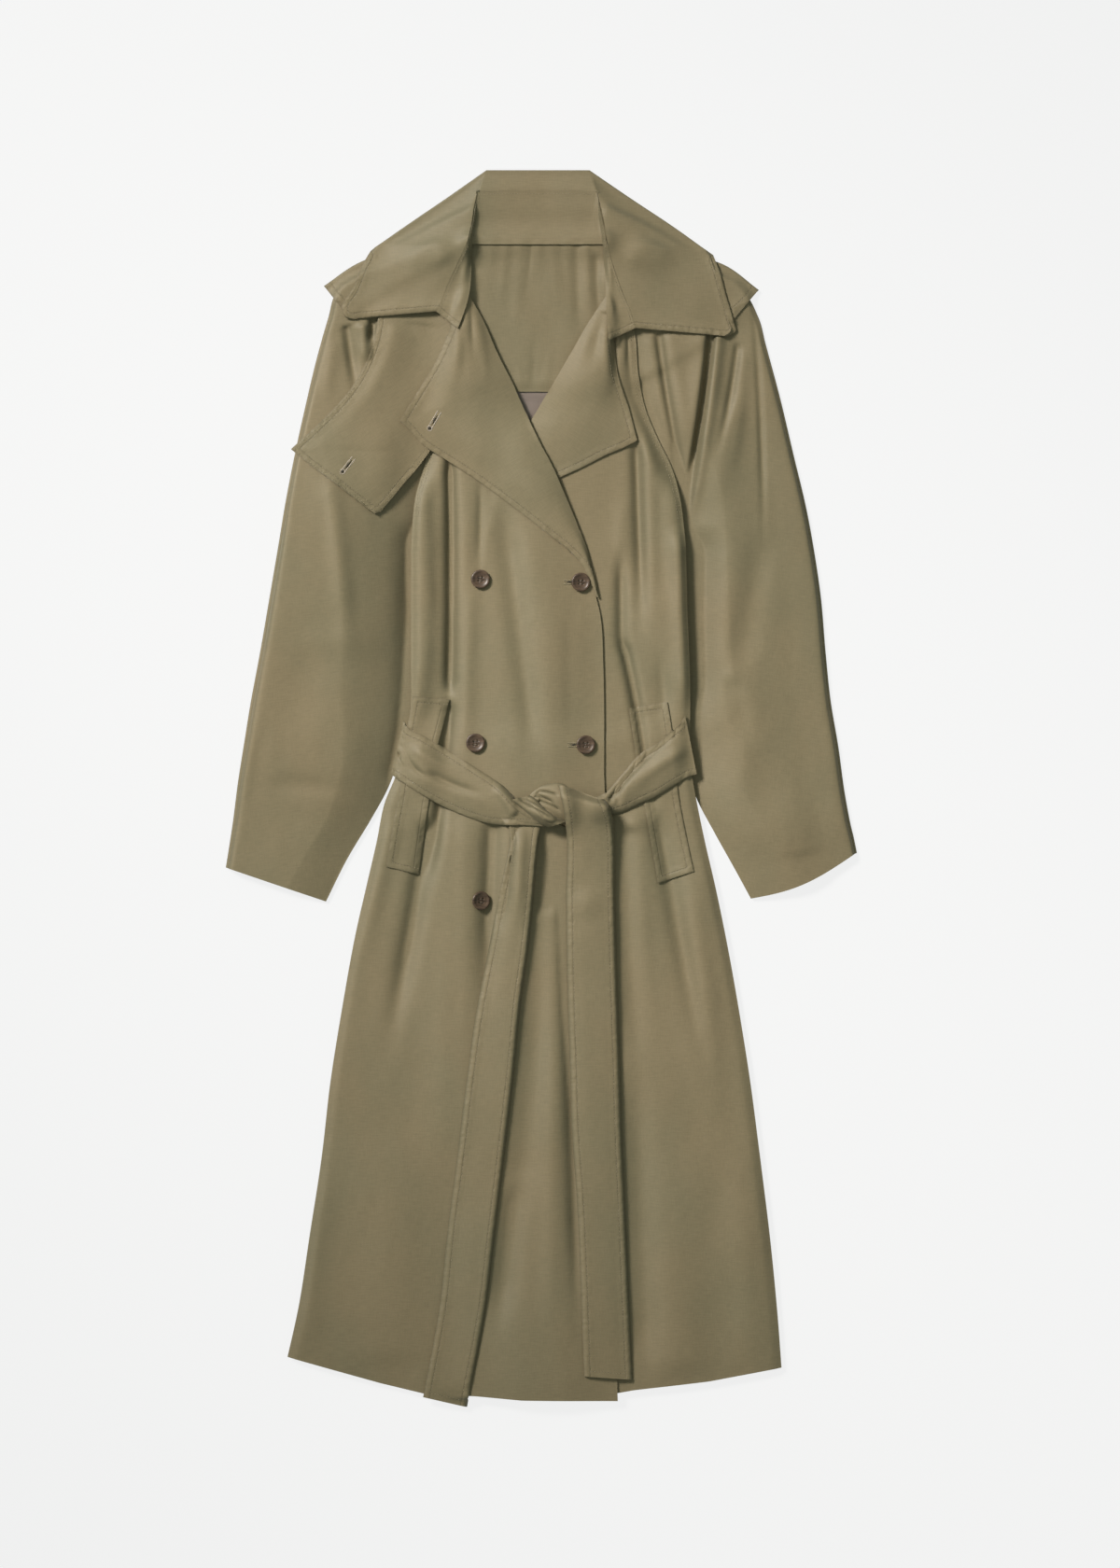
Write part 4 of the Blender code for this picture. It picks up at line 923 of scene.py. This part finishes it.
def node(tree, kind, inputs=(), **settings):
    """A shader node; inputs pairs a socket with a constant or with another node's output."""
    made = tree.nodes.new(kind)
    for name, value in settings.items():
        setattr(made, name, value)
    for socket, value in inputs:
        if isinstance(value, bpy.types.NodeSocket):
            tree.links.new(value, made.inputs[socket])
        else:
            made.inputs[socket].default_value = value
    return made


def maths(tree, operation, *values):
    return node(tree, "ShaderNodeMath", enumerate(values), operation=operation).outputs[0]


def spread(tree, value, low, high, start=0.0, end=1.0):
    """A value brought from low..high to start..end."""
    pairs = [("Value", value), ("From Min", low), ("From Max", high), ("To Min", start), ("To Max", end)]
    return node(tree, "ShaderNodeMapRange", pairs).outputs[0]


def mixed(tree, share, one, other):
    return node(tree, "ShaderNodeMix", [(0, share), (6, one), (7, other)], data_type="RGBA").outputs[2]


def noise(tree, place, scale, detail, turn=(0.0, 0.0, 0.0), dimensions="3D"):
    """Noise of so many cycles per metre along each axis."""
    pairs = [("Vector", place), ("Rotation", turn), ("Scale", scale)]
    drawn = node(tree, "ShaderNodeMapping", pairs, vector_type="POINT").outputs[0]
    pairs = [("Vector", drawn), ("Scale", 1.0), ("Detail", detail)]
    return node(tree, "ShaderNodeTexNoise", pairs, noise_dimensions=dimensions).outputs[0]


def blank(name):
    """A material without nodes, and its tree."""
    material = bpy.data.materials.new(name)
    material.use_nodes = True
    material.node_tree.nodes.clear()
    return material, material.node_tree


def surfaced(material, **values):
    """The material with a Principled surface of the given values."""
    tree = material.node_tree
    inputs = [(name.replace("_", " "), value) for name, value in values.items()]
    surface = node(tree, "ShaderNodeBsdfPrincipled", inputs)
    node(tree, "ShaderNodeOutputMaterial", [(0, surface.outputs[0])])
    return material


def woven(name, tones, roughness, sheen, streak):
    """Cloth of two slightly different tones with slubs along its weft and warp, and painted shade: darker
    and greener where it is steep, and darker at its turned rims and in their stitch grooves."""
    material, tree = blank(name)
    plus, times = partial(maths, tree, "ADD"), partial(maths, tree, "MULTIPLY")
    threads = node(tree, "ShaderNodeUVMap", uv_map="threads").outputs[0]
    weft, warp, grain, worn, pucker, crumple = (
        noise(tree, threads, (across, along, 1.0), detail, dimensions="2D")
        for across, along, detail in (WEFT, WARP, GRAIN, WORN, PUCKER, CRUMPLE)
    )
    facing = node(tree, "ShaderNodeNewGeometry").outputs["Normal"]
    slope = node(tree, "ShaderNodeSeparateXYZ", [(0, facing)]).outputs[2]
    edge = node(tree, "ShaderNodeAttribute", attribute_name="edge").outputs["Fac"]
    ramp = node(tree, "ShaderNodeValToRGB", [(0, spread(tree, edge, 0.0, EDGE_RAMP))])
    stops = ramp.color_ramp.elements
    for place, height in EDGE_PROFILE:
        stops.new(place).color = (height, height, height, 1)
    stops.remove(stops[0])
    profile = ramp.outputs[0]
    # The second tone comes in at random, and as a painted shade tint where the cloth is steep.
    random_tone_and_painted_shade_tint = plus(spread(tree, worn, *WORN_TONE), spread(tree, slope, *PAINTED_SHADE_TINT))
    base = mixed(tree, maths(tree, "MINIMUM", random_tone_and_painted_shade_tint, 1.0), *tones)
    slubs = plus(plus(times(weft, 0.6), times(warp, 0.4)), times(grain, 0.25))
    level = spread(tree, slubs, 0.35, 0.9, 1 - streak, 1 + streak)
    # Painted shade: darker at the turned rims and in the stitch grooves.
    level = times(level, spread(tree, profile, *PAINTED_EDGE_SHADE))
    # Painted shade: the cloth is darker where it is steep.
    level = times(level, spread(tree, slope, *PAINTED_SLOPE_SHADE))
    grey = node(tree, "ShaderNodeCombineXYZ", [(0, level), (1, level), (2, level)]).outputs[0]
    colour = node(tree, "ShaderNodeVectorMath", [(0, base), (1, grey)], operation="MULTIPLY").outputs[0]
    border = spread(tree, edge, 0.011, 0.004)
    seam = plus(times(profile, SEAM_DEPTH), times(times(pucker, border), PUCKER_DEPTH))
    relief = plus(seam, plus(times(slubs, FIBRE_DEPTH), times(crumple, CRUMPLE_DEPTH)))
    bump = node(tree, "ShaderNodeBump", [("Strength", 0.9), ("Distance", 1.0), ("Height", relief)])
    return surfaced(
        material, Base_Color=colour, Roughness=roughness, Specular_IOR_Level=0.35, Sheen_Weight=sheen,
        Sheen_Roughness=0.35, Sheen_Tint=SHEEN_TONE, Normal=bump.outputs[0],
    )


def plain(name, *tone, roughness=0.6):
    return surfaced(blank(name)[0], Base_Color=(*tone, 1), Roughness=roughness, Coat_Roughness=0.2)


def horned(name):
    """Polished horn with darker streaks."""
    material, tree = blank(name)
    place = node(tree, "ShaderNodeTexCoord").outputs["Object"]
    streaks = noise(tree, place, (130.0, 420.0, 130.0), 3.0, turn=(0.0, 0.0, 0.6))
    base = mixed(tree, spread(tree, streaks, 0.35, 0.65), *HORN_TONES)
    return surfaced(material, Base_Color=base, Roughness=0.42, Coat_Weight=0.1, Coat_Roughness=0.3)


# ---------------------------------------------------------------- sewing

# Length, width and height of stitches, and the pitch of a topstitched row.
STITCH, HOLE_STITCH = (2.5 * MM, 0.6 * MM, 0.32 * MM), (1.7 * MM, 1.1 * MM, 0.6 * MM)
PITCH = 3.1 * MM
SLIT_WIDTH, SLIT_HEIGHT, EYE = 1.9 * MM, 0.25 * MM, (4.2 * MM, 3.6 * MM, 0.3 * MM)
HOLE_PITCH, HOLE_SIDE, HOLE_RING, RING_STITCHES = 0.8 * MM, 1.9 * MM, 2.5 * MM, 14
ABOVE = 0.2  # where the needle starts
STEEPEST = 0.3  # upward part of the cloth's facing where it still sews


def surface_of(piece):
    """What a ray meets on a piece with its wall."""
    return BVHTree.FromObject(piece, bpy.context.evaluated_depsgraph_get())


def dropped(ground, x, y):
    """The point under x, y on the ground, and which way the ground faces there."""
    return ground.ray_cast(Vector((x, y, ABOVE)), Vector((0, 0, -1)))[:2]


def inset(line, inner, distance, rims):
    """Points every pitch along a line moved towards its inner side, clear of all rims, with their ways."""
    reach = np.r_[0, np.cumsum(np.linalg.norm(np.diff(line, axis=0), axis=1))]
    half = PITCH / 2
    at = np.arange(half, reach[-1], PITCH)
    before, spots, after, within = (
        np.column_stack([np.interp(places, reach, values) for values in path.T])
        for places, path in ((at - half, line), (at, line), (at + half, line), (at, inner))
    )
    ways = unit(after - before + 1e-9)
    left = np.column_stack([-ways[:, 1], ways[:, 0]])
    side = np.sign(((within - spots) * left).sum(axis=1, keepdims=True))
    moved = spots + side * distance * left
    clear = edge_distance(moved[:, None], rims).ravel() > 0.97 * distance
    return moved[clear], ways[clear]


def stitches(name, piece, rows, size=STITCH, colour=None):
    """Short lens-shaped stitches on a piece, from rows of points and ways."""
    ground = surface_of(shells[piece])
    length, width, height = size
    form = bmesh.new()
    for spots, ways in rows:
        for place, way in zip(spots, ways):
            spot, facing = dropped(ground, *place)
            if spot is None or facing.z < STEEPEST:
                continue
            along = Vector((*way, 0))
            along = (along - facing * along.dot(facing)).normalized()
            reaches = (along * length / 2, facing.cross(along) * width / 2, -facing * height)
            corners = [[form.verts.new(spot - reach), form.verts.new(spot + reach)] for reach in reaches]
            for corner in product(*corners):
                form.faces.new(corner)
    bmesh.ops.recalc_face_normals(form, faces=form.faces)
    made = solid(name, form, colour or thread)
    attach(made, "root")


def topstitch(piece, sides, distances=(INSET,)):
    """Rows of stitches on a piece at given distances inside its sides, which are rims or their names."""
    plan = surfaces[piece][..., :2]
    rims = [rim(plan, side) if isinstance(side, str) else side for side in sides]
    lines = [line for line, _ in rims]
    rows = [inset(*pair, distance, lines) for pair in rims for distance in distances]
    stitches(f"stitches_{piece}", piece, rows)


def buttonhole(number, piece, *ends):
    """A keyhole buttonhole: a close ring of stitches round a slit and eye, drawn as dark plates of painted
    shade.
    """
    start, end = metres(ends).reshape(2, 2)
    way = unit(end - start)
    side = np.array([-way[1], way[0]])
    length = np.linalg.norm(end - start)
    steps = product(np.arange(0, length, HOLE_PITCH), (-1, 1))
    ring = [(start + way * step + side * sign * HOLE_SIDE, side) for step, sign in steps]
    for turn in np.linspace(0, 2 * math.pi, RING_STITCHES, endpoint=False):
        out = math.cos(turn) * way + math.sin(turn) * side
        ring.append((end + out * HOLE_RING, out))
    colour = thread if piece == "front_right" else hole_thread
    stitches(f"buttonhole_{number}", piece, [zip(*ring)], HOLE_STITCH, colour)
    # The slit and its eye are thin dark plates: painted shade where the opening is.
    slit = ([(start + end) / 2], [way])
    stitches(f"slit_{number}", piece, [slit], (length, SLIT_WIDTH, SLIT_HEIGHT), painted_hole_shade)
    stitches(f"eye_{number}", piece, [([end, end], [way, side])], EYE, painted_hole_shade)


# ---------------------------------------------------------------- buttons

BUTTON_RADIUS, BUTTON_HEIGHT = 9.7 * MM, 3.2 * MM
BUTTON_PROFILE = [
    (0, 0), (0.62, 0), (0.86, 0.16), (0.97, 0.40), (1.0, 0.62), (0.985, 0.84), (0.93, 0.97), (0.85, 1.0),
    (0.78, 0.96), (0.70, 0.82), (0.62, 0.72), (0.45, 0.66), (0, 0.64),
]  # of its radius and height
HOLE_OFFSET, HOLE_RADIUS = 1.7 * MM, 0.95 * MM
SHANK_RADIUS, SHORTEST_SHANK = 1.4 * MM, 0.3 * MM


def turned(profile, sides=48):
    """A form turned about Z from a profile whose two ends lie on the axis."""
    form = bmesh.new()
    rings = []
    for out, up in profile:
        turns = [2 * math.pi * side / sides for side in range(sides if out else 1)]
        rings.append([form.verts.new((out * math.cos(turn), out * math.sin(turn), up)) for turn in turns])
    for one, other in zip(rings[:-1], rings[1:]):
        for side in range(sides):
            after = (side + 1) % sides
            places = ((one, side), (one, after), (other, after), (other, side))
            form.faces.new(dict.fromkeys(ring[place % len(ring)] for ring, place in places))
    bmesh.ops.recalc_face_normals(form, faces=form.faces)
    return form


def pin(form, radius, depth, place):
    """Adds an upright pin to a form."""
    settings = {"cap_ends": True, "segments": 12, "radius1": radius, "radius2": radius, "depth": depth}
    bmesh.ops.create_cone(form, matrix=Matrix.Translation(place), **settings)


def cross_threads(rest):
    """The thread through a button's four holes, and its shank down to the cloth."""
    form = bmesh.new()
    for y in (-HOLE_OFFSET, HOLE_OFFSET):
        place = Matrix.Translation((0, y, 2.3 * MM)) @ Matrix.Diagonal((3.6 * MM, 0.7 * MM, 0.7 * MM, 1))
        bmesh.ops.create_icosphere(form, subdivisions=2, radius=0.62, matrix=place)
    pin(form, SHANK_RADIUS, rest + 0.4 * MM, (0, 0, -rest / 2))
    return form


def button(number, x, y):
    """A dished button with four holes, sewn on with a short shank and tipped to lie with the cloth."""
    ground = surface_of(shells["front_right"])
    turns = 0.4 * np.arange(16)
    ring = np.column_stack([x + BUTTON_RADIUS * np.cos(turns), y + BUTTON_RADIUS * np.sin(turns)])
    spots = [dropped(ground, *place)[0] for place in (*ring, (x, y))]
    places = np.array([spot for spot in spots if spot is not None])
    offsets = places[:, :2] - (x, y)
    fit = np.linalg.lstsq(np.column_stack([offsets, np.ones(len(places))]), places[:, 2], rcond=None)[0]
    level = (places[:, 2] - offsets @ fit[:2]).max() + SEAM
    rest = max(level - spots[-1].z, SHORTEST_SHANK)
    facing = Vector((-fit[0], -fit[1], 1)).normalized()
    tilt = Vector((0, 0, 1)).rotation_difference(facing).to_matrix().to_4x4()
    profile = [(out * BUTTON_RADIUS, up * BUTTON_HEIGHT) for out, up in BUTTON_PROFILE]
    made = solid(f"horn_button_{number}", turned(profile), horn)
    sewing = solid(f"button_thread_{number}", cross_threads(rest), button_thread, smooth=False)
    form = bmesh.new()
    for a, b in product((-HOLE_OFFSET, HOLE_OFFSET), repeat=2):
        pin(form, HOLE_RADIUS, 8 * MM, (a, b, 2 * MM))
    punch = solid(f"holes_{number}", form, smooth=False)
    for piece in (made, sewing, punch):
        piece.matrix_world = Matrix.Translation((x, y, level)) @ tilt
    drilled = made.modifiers.new("holes", "BOOLEAN")
    drilled.operation, drilled.solver, drilled.object = "DIFFERENCE", "EXACT", punch
    bpy.context.view_layer.update()
    whole = bpy.data.meshes.new_from_object(made.evaluated_get(bpy.context.evaluated_depsgraph_get()))
    made.modifiers.clear()
    made.data = whole
    bpy.data.objects.remove(punch)
    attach(made, "root")
    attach(sewing, "root")
    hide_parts(f"button_{number}")


def button_row():
    """The buttons, each of which the bed then remembers as a disc."""
    for number, (x, y) in enumerate(metres(BUTTONS), start=1):
        button(number, x, y)
        turns, radii = np.meshgrid(np.linspace(0, 2 * math.pi, 24), np.linspace(0, BUTTON_RADIUS, 8))
        top = np.full(turns.shape, bed.height(np.array([x, y])) + BUTTON_HEIGHT)
        bed.add(np.dstack([x + radii * np.cos(turns), y + radii * np.sin(turns), top]))


# ---------------------------------------------------------------- the coat


def build():
    band, cape = collar_band(), storm_flap()
    strip("belt_back", BACK_BELT, ["floor"], (130, 24), softness=4 * MM)
    left_tube = sleeve(LEFT_SLEEVE, sag=0.5, bow=8.5 * MM)
    right_tube = sleeve(RIGHT_SLEEVE, sag=0.0, bow=0.0)
    finish_sleeve("sleeve_left", left_tube, LEFT_SLEEVE_FOLDS, seed=1, grain=-8)
    finish_sleeve("sleeve_right", right_tube, RIGHT_SLEEVE_FOLDS, seed=2, grain=8)
    back_panel()
    back_neck()
    lower = ["back_panel", "sleeve_left"]
    front("front_left", ("under_edge", "left_side"), UNDER_HEM, LEFT_FOLDS, 90, 0, 3, lower)
    lapel("left", LEFT_LAPEL, LEFT_LAPEL_TIP, LEFT_LAPEL_FOLDS, 90, 46, seed=7, grain=-30)
    lower = ["front_left", "back_panel", "sleeve_right"]
    front("front_right", ("right_side", "upper_edge"), UPPER_HEM, RIGHT_FOLDS, 96, -1, 4, lower)
    cape.lay_over(softness=4 * MM)
    lower = ["sleeve_left", "sleeve_right", "back_panel"]
    cape.finish("storm_flap", lower, held="folded", stitched=[cape.plan[-1]])
    gun_flap()
    lapel("right", RIGHT_LAPEL, RIGHT_LAPEL_TIP, RIGHT_LAPEL_FOLDS, 130, 60, seed=8, grain=30)
    ground = bed.grown
    lines = [line for line, _ in collar_edges(band)]
    band.lay_over(collar_rise(band, lines), softness=10 * MM)
    lower = ["collar_stand", "lapel_left", "lapel_right"]
    band.finish("collar_fall", lower, held="folded", stitched=lines)
    collar_stand(ground)
    for side, rows, across in (("right", RIGHT_WELT, 18), ("left", LEFT_WELT, 20)):
        looks = {"softness": 2 * MM, "thickness": WELT, "ends": (0, -1)}
        strip(f"pocket_welt_{side}", rows, [f"front_{side}"], (94, across), **looks)
    button_row()
    lower = ["front_right"]
    strip("belt_tail_right", RIGHT_TAIL, lower, (310, 24), right_tail_bulge, RIGHT_TAIL_FOLDS, 26 * MM)
    lower = ["front_right", "pocket_welt_right", "belt_tail_right"]
    strip("belt_right", RIGHT_BELT, lower, (70, 30), belt_bulge, RIGHT_BELT_FOLDS, 34 * MM)
    lower = ["front_left", "front_right", "pocket_welt_left"]
    strip("belt_left", LEFT_BELT, lower, (70, 26), belt_bulge, LEFT_BELT_FOLDS, 34 * MM)
    lower = ["front_right", "belt_right", "belt_left"]
    strip("belt_knot_loop", KNOT_LOOP, lower, (50, 40), loop_bulge, LOOP_FOLDS, 6 * MM, stitched=())
    lower = ["belt_right", "belt_tail_right", "belt_knot_loop"]
    strip("belt_knot_wrap", KNOT_WRAP, lower, (60, 30), wrap_bulge, WRAP_FOLDS, 6 * MM, stitched=(0,))
    lower = ["front_right", "belt_left", "belt_knot_loop"]
    strip("belt_tail_left", LEFT_TAIL, lower, (310, 26), left_tail_bulge, softness=26 * MM)
    return band


def sew(band):
    for piece in ("belt_right", "belt_left"):
        topstitch(piece, ["one", "other"])
    for piece in ("belt_tail_left", "belt_tail_right"):
        topstitch(piece, ["one", "other", "end"])
    for piece in ("pocket_welt_right", "pocket_welt_left"):
        topstitch(piece, ["one", "start", "end"])
    for piece in ("lapel_right", "lapel_left"):
        topstitch(piece, ["one"])
    flap_end = rim(surfaces["gun_flap"][..., :2], "other", first=-FLAP_STITCHED_ROWS)
    topstitch("gun_flap", ["one", "end", flap_end], (2 * MM, INSET))
    topstitch("storm_flap", ["end"])
    topstitch("collar_fall", collar_edges(band))
    topstitch("collar_stand", ["start", "other", "end"], (2.6 * MM,))
    for piece, side in (("front_left", "other"), ("front_right", "one")):
        line, inner = rim(surfaces[piece][..., :2], side)
        raglan = line[:, 1] > RAGLAN_ENDS * MM
        topstitch(piece, [(line[raglan], inner[raglan])], (2 * MM, 5 * MM))
    for number, hole in enumerate(HOLES, start=1):
        buttonhole(number, *hole)


# ---------------------------------------------------------------- the studio

PAPER_TONE, PAPER_GLOW = 0.10, 0.825
ROOM_TONE, ROOM_LIGHT = (0.87, 1.0, 0.91, 1), 0.30
KEY = {"size": 1.4, "energy": 9.3, "spread": math.radians(24), "color": (1.0, 0.965, 0.93)}
KEY_PLACE, KEY_AIM = (-3.0, 2.6, 3.1), (0.0, 0.13, 0)
CAMERA = {"lens": 150, "sensor_width": 36, "clip_end": 50}
CAMERA_PLACE = (0.01968, 0.00384, 6.72)


def placed(name, data, settings, location):
    """A lamp's or camera's object."""
    for setting, value in settings.items():
        setattr(data, setting, value)
    made = bpy.data.objects.new(name, data)
    made.location = location
    bpy.context.scene.collection.objects.link(made)
    return made


def studio():
    """White paper that glows a little, an even room, and one soft lamp from the upper left."""
    scene = bpy.context.scene
    bpy.ops.mesh.primitive_plane_add(size=12, location=(0, 0, -0.0005))
    floor = bpy.context.object
    floor.name = "floor"
    white = {"Emission_Color": (1, 1, 1, 1), "Emission_Strength": PAPER_GLOW}
    paper, _ = blank("paper")
    surfaced(paper, Base_Color=(PAPER_TONE,) * 3 + (1,), Roughness=1.0, Specular_IOR_Level=0.0, **white)
    floor.data.materials.append(paper)
    scene.world = bpy.data.worlds.new("room")
    scene.world.use_nodes = True
    tone, light = scene.world.node_tree.nodes["Background"].inputs[:2]
    tone.default_value, light.default_value = ROOM_TONE, ROOM_LIGHT
    key = placed("key", bpy.data.lights.new("key", "AREA"), KEY, KEY_PLACE)
    key.rotation_euler = (Vector(KEY_AIM) - key.location).to_track_quat("-Z", "Y").to_euler()
    scene.camera = placed("camera", bpy.data.cameras.new("camera"), CAMERA, CAMERA_PLACE)
    scene.view_settings.view_transform = "Standard"


gabardine = woven("body_cloth", BODY_TONES, roughness=0.58, sheen=0.25, streak=0.10)
satin = woven("lining_cloth", LINING_TONES, roughness=0.38, sheen=0.0, streak=0.04)
horn = horned("horn")
# Thread a little lighter than the cloth: partly its own yellower tone, partly painted sheen.
thread = plain("thread", 0.30, 0.25, 0.16)
hole_thread = plain("hole_thread", 0.50, 0.43, 0.36)
button_thread = plain("button_thread", 0.17, 0.13, 0.095)
# Painted shade for the openings of the buttonholes.
painted_hole_shade = plain("slit", 0.03, 0.025, 0.02, roughness=0.9)
shells, surfaces = {}, {}
bed = Bed()
sew(build())
studio()
